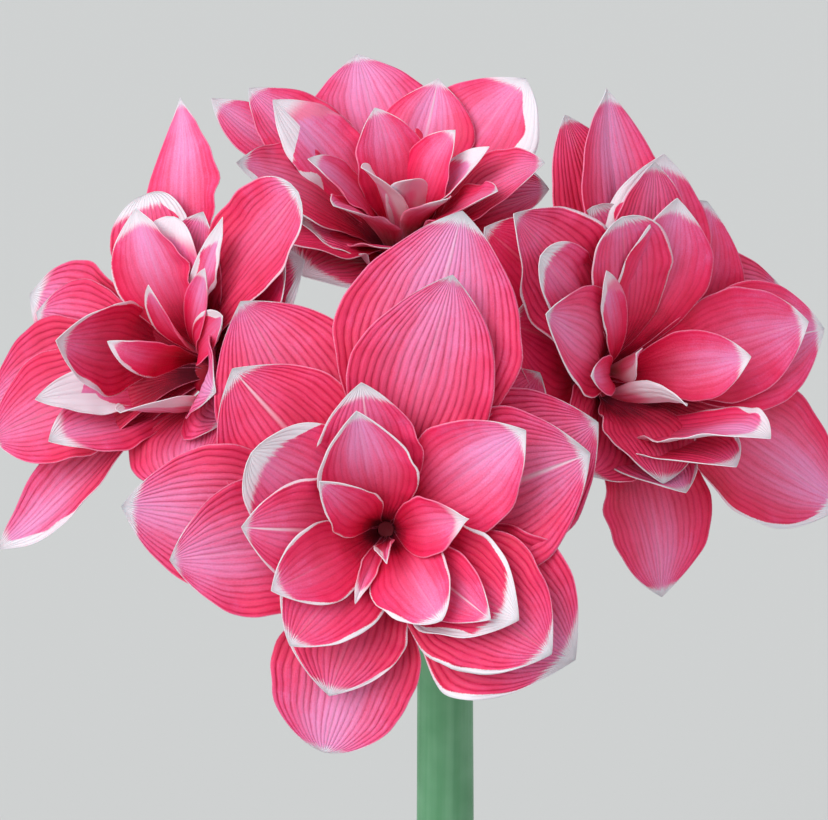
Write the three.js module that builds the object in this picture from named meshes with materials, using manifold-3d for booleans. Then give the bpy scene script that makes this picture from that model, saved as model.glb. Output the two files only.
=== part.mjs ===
// A potted amaryllis: four double blooms on one thick scape, which rises from a bulb in a plain clay pot.
// Millimetres, +Z up. The origin is the middle of the pot's foot, and the flower head faces -Y.
import * as THREE from "three";
import { mergeVertices } from "three/addons/utils/BufferGeometryUtils.js";
import Module from "manifold-3d";

const wasm = await Module();
wasm.setup();

// Driving dimensions.
const GAP = 0.3;
const POT = { height: 150, footRadius: 60, rimRadius: 86, wall: 6, floor: 8, chamfer: 2 };
const BAND = { height: 26, proud: 4, slope: 3 };
const DRAIN = { radius: 5, fromAxis: 32, count: 4 };
const SOIL = { top: 132, dome: 5 };
const BULB = { foot: 76, height: 122, footRadius: 22, radius: 48, neckRadius: 20 };
const UMBEL_HEIGHT = 560;
const SCAPE = { top: UMBEL_HEIGHT - 14, footRadius: 13.5, topRadius: 11.2 };
const SOCKET = { depth: 10, clearance: 0.4 };
const STALK = { radius: 4, spread: 6.4, arch: 0.45, steps: 7, arcPieces: 4 };
const OVARY = { radius: 7, length: 24 };
const RECEPTACLE = { radius: 17, back: 20, front: 12, seatRadius: 6 };
const BLADE_THICKNESS = { petal: 1.3, bract: 1.4, leaf: 3 };
const NECK_CLEARANCE = 1;
const SIDES = { pot: 40, bulb: 28, scape: 20, drain: 12, ovary: 10, receptacle: 14 };

const COLOURS = {
  clay: 0xb5714f,
  soil: 0x3b2a20,
  bulb: 0x9c6b3f,
  stem: 0x6fa173,
  bract: 0xb79a6e,
  leaf: 0x4f8a4c,
  petal: 0xe03f63,
};

// How the petals of each whorl leave the throat, arch and cup. Angles are degrees from the bloom's axis, and
// cup is how far a margin turns inward at the root, on the way and at the tip. Going round a whorl, the
// petals stand forward and back of its rise by the stagger in turn, so that they lap without crossing.
const WHORLS = {
  outer: { rootRadius: 9, rootDepth: 10, leave: 35, arrive: 98, rise: 14, stagger: 5, cup: [50, 6, 10] },
  second: { rootRadius: 7, rootDepth: 9, leave: 28, arrive: 85, rise: 26, stagger: 5, cup: [50, 10, 14] },
  third: { rootRadius: 5, rootDepth: 8, leave: 18, arrive: 70, rise: 36, stagger: 0, cup: [50, 16, 20] },
  inner: { rootRadius: 3.5, rootDepth: 7, leave: 12, arrive: 55, rise: 40, stagger: 0, cup: [60, 32, 26] },
  sliver: { rootRadius: 3, rootDepth: 6, leave: 10, arrive: 45, rise: 38, stagger: 0, cup: [50, 36, 28] },
};
// The facets of one face of a petal, from root to tip and from margin to margin.
const FACETS = {
  outer: { rows: 5, columns: 4 },
  second: { rows: 5, columns: 4 },
  third: { rows: 4, columns: 2 },
  inner: { rows: 4, columns: 2 },
  sliver: { rows: 4, columns: 2 },
};
// A petal's own form: how far it folds along its midrib, how far its margins roll over and wave, the share
// of its length where it is widest, how its width swells up to there and closes to the point past it, and
// its root's share of the full width.
const PETAL = {
  keel: 0,
  rollLeft: 0,
  rollRight: 0,
  wave: 0,
  widest: 0.6,
  swell: 1.7,
  point: 0.85,
  root: 0.15,
};
const FOLDED = { leave: 78, arrive: 20 };
const BLUNT = { widest: 0.7, point: 0.45 };

// A petal: its whorl, where it points (degrees clockwise from the top, seen from the front), how far its
// tip reaches from the axis, its width, and what sets it apart.
const petal = (whorl, turn, reach, width, extra = {}) => ({ whorl, turn, reach, width, ...extra });

// Each bloom: the middle of its throat from the middle of the umbel, the way it faces (degrees clockwise from
// -Y seen from above, and up), how it differs from the whorls above, and its petals from the outside in.
const BLOOMS = {
  front: {
    throat: [-24, -87, 4],
    azimuth: -4,
    elevation: 12,
    whorls: {},
    petals: [
      petal("outer", 13, 124, 70),
      petal("outer", 62, 91, 62),
      petal("outer", 121, 86, 72),
      petal("outer", -167, 86, 56, { point: 0.6 }),
      petal("outer", -84, 97, 56),
      petal("outer", -33, 102, 60),
      petal("second", 16, 100, 56),
      petal("second", 67, 84, 62),
      petal("second", 123, 77, 56),
      petal("second", -165, 63, 46),
      petal("second", -98, 78, 54),
      petal("second", -43, 83, 58),
      petal("third", -7, 58, 40),
      petal("third", 53, 68, 44),
      petal("third", 118, 60, 44),
      petal("third", -143, 51, 40),
      petal("third", -85, 50, 42),
      petal("third", -59, 56, 42),
      petal("inner", -10, 48, 40),
      petal("inner", 76, 37, 24),
      petal("inner", 123, 51, 28),
      petal("inner", 138, 38, 34),
      petal("inner", -116, 43, 32),
      petal("inner", -46, 30, 22),
      petal("sliver", -167, 20, 8, { rise: 30 }),
    ],
  },
  left: {
    throat: [-97, -23, 53],
    azimuth: -42,
    elevation: 16,
    whorls: {},
    petals: [
      petal("outer", -16, 104, 44),
      petal("outer", -22, 63, 46, BLUNT),
      petal("outer", -110, 100, 56),
      petal("outer", -139, 121, 36, { cup: [70, 34, 30] }),
      petal("outer", 58, 75, 46, { rollRight: -60 }),
      petal("outer", 123, 48, 50),
      petal("outer", 150, 53, 56),
      petal("outer", -81, 93, 44),
      petal("second", 2, 55, 34, BLUNT),
      petal("second", 10, 60, 38, { rise: 30 }),
      petal("second", -123, 89, 50),
      petal("second", 36, 97, 46, BLUNT),
      petal("second", -146, 49, 34, { rise: 50, leave: 75, arrive: 40 }),
      petal("second", 113, 44, 44),
      petal("second", -86, 74, 42),
      petal("third", -16, 57, 50),
      petal("third", 41, 75, 42, BLUNT),
      petal("third", -86, 17, 38, { rise: 62, leave: 75, arrive: 5 }),
      petal("third", 164, 23, 36, { rise: 44, ...FOLDED }),
      petal("third", 99, 52, 34, { rise: 42, leave: 50 }),
      petal("inner", 30, 69, 22),
      petal("sliver", 8, 28, 16, { rise: 40 }),
      petal("sliver", 39, 50, 16, { rise: 40 }),
      petal("sliver", -65, 5, 18, { rise: 48 }),
      petal("sliver", 64, 51, 20, { rise: 40 }),
    ],
  },
  right: {
    throat: [64, -30, 50],
    azimuth: 38,
    elevation: 16,
    whorls: {},
    petals: [
      petal("outer", -6, 103, 46, { rise: 6 }),
      petal("outer", 6, 110, 52, { rise: 18, keel: 14 }),
      petal("outer", 37, 77, 62),
      petal("outer", 77, 93, 56),
      petal("outer", 127, 113, 60),
      petal("outer", -178, 88, 60),
      petal("outer", -41, 86, 58),
      petal("outer", -64, 67, 54),
      petal("second", 5, 95, 46),
      petal("second", 12, 83, 50, { rise: 30, rollLeft: -110 }),
      petal("second", 90, 92, 52),
      petal("second", 174, 41, 46, { rise: 62, leave: 85, arrive: 30 }),
      petal("second", -170, 44, 46),
      petal("second", -36, 90, 50, { wave: 3 }),
      petal("second", -130, 51, 46),
      petal("second", -12, 67, 42, BLUNT),
      petal("second", -172, 48, 40, { rise: 40, leave: 70, arrive: 40 }),
      petal("third", 16, 66, 54),
      petal("third", -9, 61, 44, BLUNT),
      petal("third", -48, 74, 34, BLUNT),
      petal("third", -65, 66, 42, { rise: 40 }),
      petal("third", 84, 75, 46),
      petal("third", 171, 25, 40, { rise: 78, leave: 75, arrive: 15 }),
      petal("inner", 92, 38, 30),
      petal("sliver", -137, 19, 16, { rise: 56, leave: 40, arrive: 30 }),
      petal("sliver", -34, 49, 16, { rise: 40 }),
      petal("sliver", -63, 21, 14, { rise: 40 }),
      petal("sliver", -84, 43, 16, { rise: 40 }),
    ],
  },
  back: {
    throat: [-17, 30, 90],
    azimuth: 0,
    elevation: 62,
    whorls: {
      outer: { rise: 34, arrive: 72, leave: 30 },
      second: { rise: 42, arrive: 62 },
      third: { rise: 48, arrive: 50 },
      inner: { rise: 48, arrive: 40 },
      sliver: { rise: 48, arrive: 40 },
    },
    petals: [
      petal("outer", -14, 89, 54),
      petal("outer", 43, 76, 54, { rollRight: -60 }),
      petal("outer", -51, 81, 42),
      petal("outer", -140, 36, 60, { rise: 16, arrive: 95 }),
      petal("outer", 93, 58, 50),
      petal("outer", 147, 37, 60, { rise: 16, arrive: 95 }),
      petal("outer", 119, 57, 50, { rise: 20 }),
      petal("second", 12, 62, 52),
      petal("second", -59, 91, 36),
      petal("second", -58, 62, 36, { rollLeft: -60 }),
      petal("second", -95, 66, 46),
      petal("second", 97, 56, 44),
      petal("second", 170, 39, 50, { rise: 34 }),
      petal("second", -113, 44, 50, { rise: 30 }),
      petal("third", -26, 29, 32),
      petal("third", -96, 38, 26),
      petal("third", 59, 24, 30),
      petal("third", 124, 45, 30),
      petal("third", -140, 44, 30),
      petal("sliver", 85, 34, 20),
      petal("sliver", -124, 20, 24),
      petal("sliver", 169, 19, 18),
      petal("sliver", 152, 35, 20),
    ],
  },
};

// Each stalk leaves the scape's top on its own side and ends square to its bloom.
const STALK_SIDES = { front: -90, left: 180, right: 0, back: 90 };
// Young leaves round the scape: the way each points (degrees from +X), its reach out and up, and its width.
const LEAVES = [
  { name: "leaf_left", side: 205, reach: 92, rise: 138, width: 34 },
  { name: "leaf_right", side: -30, reach: 118, rise: 112, width: 36 },
  { name: "leaf_back", side: 85, reach: 70, rise: 168, width: 32 },
];
// The two dry halves of the sheath that held the buds hang down beside the scape's top.
const BRACTS = [
  { name: "bract_left", side: 150, reach: 27, drop: 58, width: 20 },
  { name: "bract_right", side: 20, reach: 25, drop: 52, width: 18 },
];

const degrees = THREE.MathUtils.degToRad;
const UP = new THREE.Vector3(0, 0, 1);

// A closed geometry as a solid: shared corners merged, and triangles that merging flattened left out.
function solidOf(geometry) {
  const bare = geometry.clone();
  bare.deleteAttribute("normal");
  bare.deleteAttribute("uv");
  const merged = mergeVertices(bare, 1e-4);
  const corners = merged.index.array;
  const kept = [];
  for (let i = 0; i < corners.length; i += 3) {
    const [a, b, c] = [corners[i], corners[i + 1], corners[i + 2]];
    if (a !== b && b !== c && c !== a) kept.push(a, b, c);
  }
  const vertProperties = merged.attributes.position.array;
  return new wasm.Manifold(new wasm.Mesh({ numProp: 3, vertProperties, triVerts: new Uint32Array(kept) }));
}

// A solid as a geometry, flat-shaded.
function geometryOf(solid) {
  const mesh = solid.getMesh();
  const indexed = new THREE.BufferGeometry();
  indexed.setAttribute("position", new THREE.BufferAttribute(mesh.vertProperties, 3));
  indexed.setIndex(new THREE.BufferAttribute(mesh.triVerts, 1));
  const geometry = indexed.toNonIndexed();
  geometry.computeVertexNormals();
  return geometry;
}

// The solids joined, without the loose scraps and the sealed hollows that joining can leave.
function joined(solids) {
  const whole = solids.reduce((sum, solid) => sum.add(solid));
  return whole.decompose().reduce((best, body) => (body.volume() > best.volume() ? body : best));
}

// A solid of revolution about +Z from a profile of [radius, height] pairs.
function turned(profile, segments) {
  const points = profile.map(([radius, height]) => new THREE.Vector2(radius, height));
  return new THREE.LatheGeometry(points, segments).rotateX(Math.PI / 2);
}

// Points of a smooth profile through [radius, height] pairs.
function smoothProfile(pairs, pieces) {
  const curve = new THREE.SplineCurve(pairs.map(([radius, height]) => new THREE.Vector2(radius, height)));
  return curve.getPoints(pieces).map((point) => [Math.max(point.x, 0), point.y]);
}

// The share of a blade's full width at v, from a narrow root to its widest place to a tip.
function widthShare(blade, v) {
  if (v < blade.widest) {
    const climb = Math.sin((Math.PI / 2) * (v / blade.widest) ** blade.swell);
    return blade.root + (1 - blade.root) * climb;
  }
  const past = (v - blade.widest) / (1 - blade.widest);
  return Math.max(1 - past ** 2.1, 0) ** blade.point;
}

// Where the cross-section is after a share of the half width: how far out, how far up, and its slope.
function section(blade, v, share, roll) {
  const [rootCup, midCup, tipCup] = blade.cup;
  const cup = rootCup * (1 - v) ** 2 + 2 * midCup * v * (1 - v) + tipCup * v ** 2;
  const curl = roll * Math.sin(Math.PI * THREE.MathUtils.clamp(v * 1.15 - 0.1, 0, 1)) ** 0.7;
  const slope = (t) => degrees(blade.keel * v ** 2 + cup * t + curl * Math.max((t - 0.55) / 0.45, 0) ** 1.3);
  const steps = 12;
  let out = 0;
  let up = 0;
  for (let step = 0; step < steps; step += 1) {
    const t = (share * (step + 0.5)) / steps;
    out += (share * Math.cos(slope(t))) / steps;
    up += (share * Math.sin(slope(t))) / steps;
  }
  return { out, up, slope: slope(share) };
}

// The middle surface of a blade that leaves an axis: u runs from margin to margin and v from root to tip.
function bladeSurface(blade) {
  const root = new THREE.Vector2(blade.rootRadius, -blade.rootDepth);
  const tip = new THREE.Vector2(blade.reach, blade.rise);
  const handle = 0.4 * root.distanceTo(tip);
  const heading = (angle) => new THREE.Vector2(Math.sin(degrees(angle)), Math.cos(degrees(angle)));
  const spine = new THREE.CubicBezierCurve(
    root,
    heading(blade.leave).multiplyScalar(handle).add(root),
    heading(blade.arrive).multiplyScalar(-handle).add(tip),
    tip,
  );
  return (u, v) => {
    const place = spine.getPointAt(v);
    const along = spine.getTangentAt(v);
    const turn = degrees(blade.turn);
    const radial = new THREE.Vector3(Math.sin(turn), Math.cos(turn), 0);
    const side = new THREE.Vector3(Math.cos(turn), -Math.sin(turn), 0).multiplyScalar(Math.sign(u));
    const inward = radial.clone().multiplyScalar(-along.y).addScaledVector(UP, along.x);
    const half = (blade.width / 2) * widthShare(blade, v);
    const cut = section(blade, v, Math.abs(u), u < 0 ? blade.rollLeft : blade.rollRight);
    const phase = 4 * Math.PI * v + (u < 0 ? 2.2 : 0);
    const ripple = blade.wave * Math.abs(u) ** 1.6 * Math.sin(phase) * Math.sin(Math.PI * v);
    const point = radial
      .clone()
      .multiplyScalar(place.x)
      .addScaledVector(UP, place.y)
      .addScaledVector(side, half * cut.out)
      .addScaledVector(inward, half * cut.up + ripple);
    const normal = inward.multiplyScalar(Math.cos(cut.slope)).addScaledVector(side, -Math.sin(cut.slope));
    return { point, normal };
  };
}

// A closed blade about a middle surface: two faces that meet along the margins and at the tip.
function bladeGeometry(surface, columns, rows, thickness) {
  const positions = [];
  const addCorner = (point) => positions.push(point.x, point.y, point.z) / 3 - 1;
  const inner = [];
  const outer = [];
  for (let row = 0; row < rows; row += 1) {
    inner.push([]);
    outer.push([]);
    for (let column = 0; column <= columns; column += 1) {
      const u = (2 * column) / columns - 1;
      const { point, normal } = surface(u, row / rows);
      const half = (thickness / 2) * (1 - u * u);
      inner[row].push(addCorner(point.clone().addScaledVector(normal, half)));
      const shared = column === 0 || column === columns;
      outer[row].push(shared ? inner[row][column] : addCorner(point.addScaledVector(normal, -half)));
    }
  }
  const tip = addCorner(surface(0, 1).point);
  const index = [];
  for (let column = 0; column < columns; column += 1) {
    const next = column + 1;
    for (let row = 0; row + 1 < rows; row += 1) {
      const above = row + 1;
      index.push(inner[row][column], inner[row][next], inner[above][next]);
      index.push(inner[row][column], inner[above][next], inner[above][column]);
      index.push(outer[row][column], outer[above][next], outer[row][next]);
      index.push(outer[row][column], outer[above][column], outer[above][next]);
    }
    index.push(inner[rows - 1][column], inner[rows - 1][next], tip);
    index.push(outer[rows - 1][next], outer[rows - 1][column], tip);
    index.push(inner[0][next], inner[0][column], outer[0][column]);
    index.push(inner[0][next], outer[0][column], outer[0][next]);
  }
  const geometry = new THREE.BufferGeometry();
  geometry.setAttribute("position", new THREE.Float32BufferAttribute(positions, 3));
  geometry.setIndex(index);
  return geometry;
}

// A bloom's own axes: right, up and the way it faces.
function facing(bloom) {
  const azimuth = degrees(bloom.azimuth);
  const elevation = degrees(bloom.elevation);
  const out = new THREE.Vector3(
    Math.sin(azimuth) * Math.cos(elevation),
    -Math.cos(azimuth) * Math.cos(elevation),
    Math.sin(elevation),
  );
  const right = new THREE.Vector3(Math.cos(azimuth), Math.sin(azimuth), 0);
  return { right, up: new THREE.Vector3().crossVectors(out, right), out };
}

function makeMesh(name, geometry, colour, roughness) {
  const material = new THREE.MeshStandardMaterial({ color: colour, roughness, metalness: 0 });
  const mesh = new THREE.Mesh(geometry, material);
  mesh.name = name;
  return mesh;
}

function potInnerRadius(height) {
  const share = height / POT.height;
  return POT.footRadius + (POT.rimRadius - POT.footRadius) * share - POT.wall;
}

function makePot() {
  const bandFoot = POT.height - BAND.height;
  const bandRadius = POT.rimRadius + BAND.proud;
  const lip = POT.height - BAND.slope;
  const outer = (height) => potInnerRadius(height) + POT.wall;
  const body = solidOf(
    turned(
      [
        [0, 0],
        [POT.footRadius - POT.chamfer, 0],
        [POT.footRadius, POT.chamfer],
        [outer(bandFoot), bandFoot],
        [outer(bandFoot) + BAND.proud, bandFoot + BAND.slope],
        [bandRadius, lip],
        [bandRadius - POT.chamfer, POT.height],
        [POT.rimRadius - POT.wall + POT.chamfer, POT.height],
        [potInnerRadius(lip), lip],
        [potInnerRadius(POT.floor), POT.floor],
        [0, POT.floor],
      ],
      SIDES.pot,
    ),
  );
  let pot = body;
  for (let hole = 0; hole < DRAIN.count; hole += 1) {
    const angle = (2 * Math.PI * (hole + 0.5)) / DRAIN.count;
    const drill = new THREE.CylinderGeometry(DRAIN.radius, DRAIN.radius, 3 * POT.floor, SIDES.drain);
    drill.rotateX(Math.PI / 2);
    drill.translate(DRAIN.fromAxis * Math.cos(angle), DRAIN.fromAxis * Math.sin(angle), POT.floor / 2);
    pot = pot.subtract(solidOf(drill));
  }
  return makeMesh("pot", geometryOf(pot), COLOURS.clay, 0.9);
}

// The bulb's outline from its flat base to its open neck, grown outward by a clearance.
function bulbProfile(clearance) {
  const { foot, height, footRadius, radius, neckRadius } = BULB;
  const outline = smoothProfile(
    [
      [footRadius, 0],
      [radius * 0.86, height * 0.14],
      [radius, height * 0.36],
      [radius * 0.8, height * 0.62],
      [neckRadius * 1.15, height * 0.86],
      [neckRadius, height],
    ],
    8,
  );
  const grown = outline.map(([across, up]) => [across + clearance, foot + up]);
  return [[0, foot - clearance], [footRadius + clearance, foot - clearance], ...grown.slice(1)];
}

function makeSoil() {
  const foot = POT.floor + GAP;
  const edge = potInnerRadius(SOIL.top) - GAP;
  const fill = solidOf(
    turned(
      [
        [0, foot],
        [potInnerRadius(foot) - GAP, foot],
        [edge, SOIL.top],
        [edge * 0.72, SOIL.top + SOIL.dome * 0.6],
        [edge * 0.4, SOIL.top + SOIL.dome],
        [0, SOIL.top + SOIL.dome],
      ],
      SIDES.pot,
    ),
  );
  const pocket = solidOf(turned([...bulbProfile(GAP), [0, BULB.foot + BULB.height]], SIDES.bulb));
  return makeMesh("soil", geometryOf(fill.subtract(pocket)), COLOURS.soil, 1);
}

function makeBulb() {
  const top = BULB.foot + BULB.height;
  const body = solidOf(turned([...bulbProfile(0), [0, top]], SIDES.bulb));
  const socketRadius = SCAPE.footRadius + SOCKET.clearance;
  const socket = new THREE.CylinderGeometry(socketRadius, socketRadius, 2 * SOCKET.depth, SIDES.scape);
  socket.rotateX(Math.PI / 2).translate(0, 0, top);
  return makeMesh("bulb", geometryOf(body.subtract(solidOf(socket))), COLOURS.bulb, 0.6);
}

function makeScape() {
  const foot = BULB.foot + BULB.height - SOCKET.depth + GAP;
  const profile = [
    [0, foot],
    [SCAPE.footRadius, foot],
    [(SCAPE.footRadius + SCAPE.topRadius) / 2, (foot + SCAPE.top) / 2],
    [SCAPE.topRadius, SCAPE.top],
    [0, SCAPE.top],
  ];
  return makeMesh("scape", turned(profile, SIDES.scape), COLOURS.stem, 0.5);
}

// A flower stalk with the swollen ovary at its end, fused into one piece.
function makeStalk(name, bloom) {
  const { out } = facing(bloom);
  const side = degrees(STALK_SIDES[name]);
  const throat = new THREE.Vector3(...bloom.throat);
  const seat = throat.clone().addScaledVector(out, -RECEPTACLE.back - GAP);
  const ovaryFoot = seat.clone().addScaledVector(out, -OVARY.length);
  const foot = new THREE.Vector3(Math.cos(side), Math.sin(side), 0).multiplyScalar(STALK.spread);
  foot.setZ(SCAPE.top - UMBEL_HEIGHT + GAP);
  const reach = STALK.arch * foot.distanceTo(ovaryFoot);
  const path = new THREE.CubicBezierCurve3(
    foot,
    foot.clone().addScaledVector(UP, reach),
    ovaryFoot.clone().addScaledVector(out, -reach),
    ovaryFoot.clone().addScaledVector(out, STALK.radius),
  );
  const round = new THREE.Shape().absarc(0, 0, STALK.radius, 0, 2 * Math.PI);
  const sweep = { steps: STALK.steps, extrudePath: path, curveSegments: STALK.arcPieces };
  const tube = new THREE.ExtrudeGeometry(round, sweep);
  const ovary = turned(
    [
      [0, 0],
      [STALK.radius * 0.8, 0],
      [OVARY.radius, OVARY.length * 0.35],
      [OVARY.radius * 0.9, OVARY.length * 0.7],
      [RECEPTACLE.seatRadius, OVARY.length],
      [0, OVARY.length],
    ],
    SIDES.ovary,
  );
  ovary.applyQuaternion(new THREE.Quaternion().setFromUnitVectors(UP, out));
  ovary.translate(ovaryFoot.x, ovaryFoot.y, ovaryFoot.z);
  const stalk = joined([solidOf(tube), solidOf(ovary)]);
  return makeMesh("stalk_" + name, geometryOf(stalk), COLOURS.stem, 0.5);
}

// How far a petal stands forward or back of its whorl: its neighbours going round stand the other way.
function staggerOf(bloom, row) {
  const ring = bloom.petals.filter((other) => other.whorl === row.whorl);
  ring.sort((a, b) => a.turn - b.turn);
  const side = ring.indexOf(row) % 2 === 0 ? -1 : 1;
  return side * WHORLS[row.whorl].stagger;
}

// A bloom in its own frame, facing +Z: a receptacle with every petal's root sunk in it.
function makeBloom(name, bloom) {
  const { radius, back, front, seatRadius } = RECEPTACLE;
  const receptacle = turned(
    [
      [0, -back],
      [seatRadius, -back],
      [radius * 0.85, -back * 0.55],
      [radius, 0],
      [radius * 0.6, front * 0.8],
      [0, front],
    ],
    SIDES.receptacle,
  );
  const petals = bloom.petals.map((row) => {
    const blade = { ...PETAL, ...WHORLS[row.whorl], ...bloom.whorls[row.whorl], ...row };
    blade.rise += staggerOf(bloom, row);
    const { columns, rows } = FACETS[row.whorl];
    return bladeGeometry(bladeSurface(blade), columns, rows, BLADE_THICKNESS.petal);
  });
  const solid = joined([receptacle, ...petals].map(solidOf));
  const mesh = makeMesh("bloom_" + name, geometryOf(solid), COLOURS.petal, 0.45);
  const { right, up, out } = facing(bloom);
  mesh.quaternion.setFromRotationMatrix(new THREE.Matrix4().makeBasis(right, up, out));
  mesh.position.set(...bloom.throat);
  return mesh;
}

// A blade that stands or hangs beside the scape; side is degrees from +X.
function makeBlade(name, blade, thickness, colour) {
  const full = { ...PETAL, ...blade, turn: 90 - blade.side };
  const geometry = bladeGeometry(bladeSurface(full), blade.columns, blade.rows, thickness);
  return makeMesh(name, geometryOf(solidOf(geometry)), colour, 0.6);
}

const plant = new THREE.Group();
plant.add(makePot(), makeSoil(), makeBulb(), makeScape());

const leafStyle = {
  rootDepth: 0,
  leave: 2,
  arrive: 62,
  cup: [54, 22, 10],
  widest: 0.55,
  swell: 1.15,
  point: 0.6,
  root: 0.78,
};
const leaves = new THREE.Group();
leaves.position.z = BULB.foot + BULB.height + GAP;
LEAVES.forEach((leaf) => {
  const rootRadius = SCAPE.footRadius + BLADE_THICKNESS.leaf / 2 + NECK_CLEARANCE;
  const blade = { ...leafStyle, rootRadius, rows: 8, columns: 4, ...leaf };
  leaves.add(makeBlade(leaf.name, blade, BLADE_THICKNESS.leaf, COLOURS.leaf));
});
plant.add(leaves);

const bractStyle = { rootDepth: 5, leave: 120, arrive: 172, cup: [40, 30, 20], widest: 0.4, root: 0.5 };
const bracts = new THREE.Group();
bracts.position.z = SCAPE.top;
BRACTS.forEach((bract) => {
  const rootRadius = SCAPE.topRadius + BLADE_THICKNESS.bract / 2 + GAP;
  const blade = { ...bractStyle, rootRadius, rise: -bract.drop, rows: 5, columns: 2, ...bract };
  bracts.add(makeBlade(bract.name, blade, BLADE_THICKNESS.bract, COLOURS.bract));
});
plant.add(bracts);

const umbel = new THREE.Group();
umbel.position.z = UMBEL_HEIGHT;
Object.entries(BLOOMS).forEach(([name, bloom]) => {
  umbel.add(makeStalk(name, bloom), makeBloom(name, bloom));
});
plant.add(umbel);

export default plant;
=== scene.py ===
"""A potted amaryllis in flower: four double blooms on one thick scape, over a bulb in a plain clay pot.

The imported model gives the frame. Petal, leaf and stem forms are written in millimetres, as a grower would
measure them, and every finished piece is in metres with its place in its mesh.
"""

import logging
import math
import random
from collections.abc import Callable
from dataclasses import dataclass, field, replace
from enum import Enum

import bmesh
import bpy
from mathutils import Matrix, Vector, geometry, noise


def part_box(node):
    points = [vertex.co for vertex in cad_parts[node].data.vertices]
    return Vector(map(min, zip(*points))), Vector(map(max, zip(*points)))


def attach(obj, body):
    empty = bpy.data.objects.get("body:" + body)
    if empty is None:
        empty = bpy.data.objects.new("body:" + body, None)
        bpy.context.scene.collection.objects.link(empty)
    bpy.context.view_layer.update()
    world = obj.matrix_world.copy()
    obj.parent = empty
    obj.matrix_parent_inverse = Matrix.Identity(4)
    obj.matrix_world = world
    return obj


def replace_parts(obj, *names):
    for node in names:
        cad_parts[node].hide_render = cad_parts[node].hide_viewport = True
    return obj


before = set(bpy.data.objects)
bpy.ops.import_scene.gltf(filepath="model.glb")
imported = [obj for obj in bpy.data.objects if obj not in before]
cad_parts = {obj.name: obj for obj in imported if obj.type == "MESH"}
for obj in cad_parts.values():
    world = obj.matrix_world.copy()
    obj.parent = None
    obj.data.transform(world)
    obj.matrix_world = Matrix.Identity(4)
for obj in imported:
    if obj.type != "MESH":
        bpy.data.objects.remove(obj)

LOG = logging.getLogger("amaryllis")
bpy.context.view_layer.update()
MM = 0.001
BODY = "root"
UMBEL_ABOVE_SCAPE = 14.0
UMBEL = Vector((0.0, 0.0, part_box("scape")[1][2] / MM + UMBEL_ABOVE_SCAPE))
UP = Vector((0.0, 0.0, 1.0))
UV_NAME = "blade"
EDGE_NAME = "blade_edge"
TONE_NAME = "blade_tone"
VEIN_SCALE = 40.0
CLEAR_SCALE = 20.0
TIP_CROWDING = 1.35
SAME_PLACE = 0.00001
SAME_PETAL_PLACE = 0.00002
SAME_PROFILE_PLACE = 0.001

Colour = tuple[float, float, float]
Triple = tuple[float, float, float]


class Whorl(Enum):
    """The rings of petals in a double bloom, from the outside in."""

    OUTER = "outer"
    SECOND = "second"
    THIRD = "third"
    INNER = "inner"
    SLIVER = "sliver"


@dataclass(frozen=True)
class Form:
    """How a blade leaves its axis, arches, cups, curls and is edged.

    Lengths are millimetres, angles degrees. Cup is how far a margin turns inward at the root, on the way
    and at the tip. Bow is how far the blade's middle swings out to its right between root and tip. Left,
    right and tip are how wide the white is along each margin and at the tip.
    """

    root_radius: float
    root_depth: float
    leave: float
    arrive: float
    rise: float
    cup: Triple
    stagger: float = 0.0
    keel: float = 0.0
    roll_left: float = 0.0
    roll_right: float = 0.0
    roll_from: float = 0.55
    wave: float = 0.0
    ruffle: float = 1.4
    pleat: float = 0.35
    hook: float = 0.0
    bow: float = 0.0
    widest: float = 0.6
    swell: float = 1.7
    point: float = 0.95
    root: float = 0.15
    left: float = 0.15
    right: float = 0.15
    tip: float = 2.5
    midrib: float = 0.1
    wash: float = 0.45
    # Painted shade: tone shifts a petal along its finish's colours, partly for its own deeper or paler
    # colour and partly to darken a petal that lies in shade.
    tone: float = 0.0
    veining: float = 0.6
    vein_gap: float = 2.9
    columns: int = 24
    rows: int = 34


@dataclass(frozen=True)
class Blade:
    """One petal or leaf: where it points, how far its tip reaches, its width and its whole form."""

    turn: float
    reach: float
    width: float
    form: Form


@dataclass(frozen=True)
class Row:
    """A petal in a bloom's list: turn, reach and width, with what sets its form apart."""

    turn: float
    reach: float
    width: float
    changes: dict[str, object] = field(default_factory=dict)


def petal(turn: float, reach: float, width: float, **changes: object) -> Row:
    """Write one petal of a bloom's list.

    Args:
        turn: Degrees clockwise from the top, seen from the front.
        reach: How far the tip is from the bloom's axis.
        width: The petal's full width.
        changes: Fields of Form that differ from the whorl's.

    Returns:
        The petal's row.
    """
    return Row(turn, reach, width, changes)


WHORLS: dict[Whorl, Form] = {
    Whorl.OUTER: Form(9, 10, 35, 98, 14, (50, 6, 10), stagger=5, wash=0.6, veining=0.9, columns=34,
                      rows=46),
    Whorl.SECOND: Form(7, 9, 28, 85, 26, (50, 10, 14), stagger=5, wash=0.4, veining=0.8, columns=32,
                       rows=42),
    Whorl.THIRD: Form(5, 8, 18, 70, 36, (50, 16, 20), wash=0.3, veining=0.55, pleat=0.18, columns=28,
                      rows=38),
    Whorl.INNER: Form(3.5, 7, 12, 55, 40, (60, 32, 26), wash=0.3, veining=0.4, ruffle=0.8, pleat=0.1,
                      columns=24, rows=32),
    Whorl.SLIVER: Form(3, 6, 10, 45, 38, (50, 36, 28), ruffle=0.5, pleat=0.05, tip=4, wash=0.5, columns=14,
                       rows=26),
}
FOLDED: dict[str, object] = {"leave": 78, "arrive": 20}
BLUNT: dict[str, object] = {"widest": 0.7, "point": 0.5}

# A petal's tone in these lists is partly its own colour and partly painted shade: the lowest values darken
# petals that lie in shade, such as the flat back petals and the right bloom's outer ones.
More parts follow.
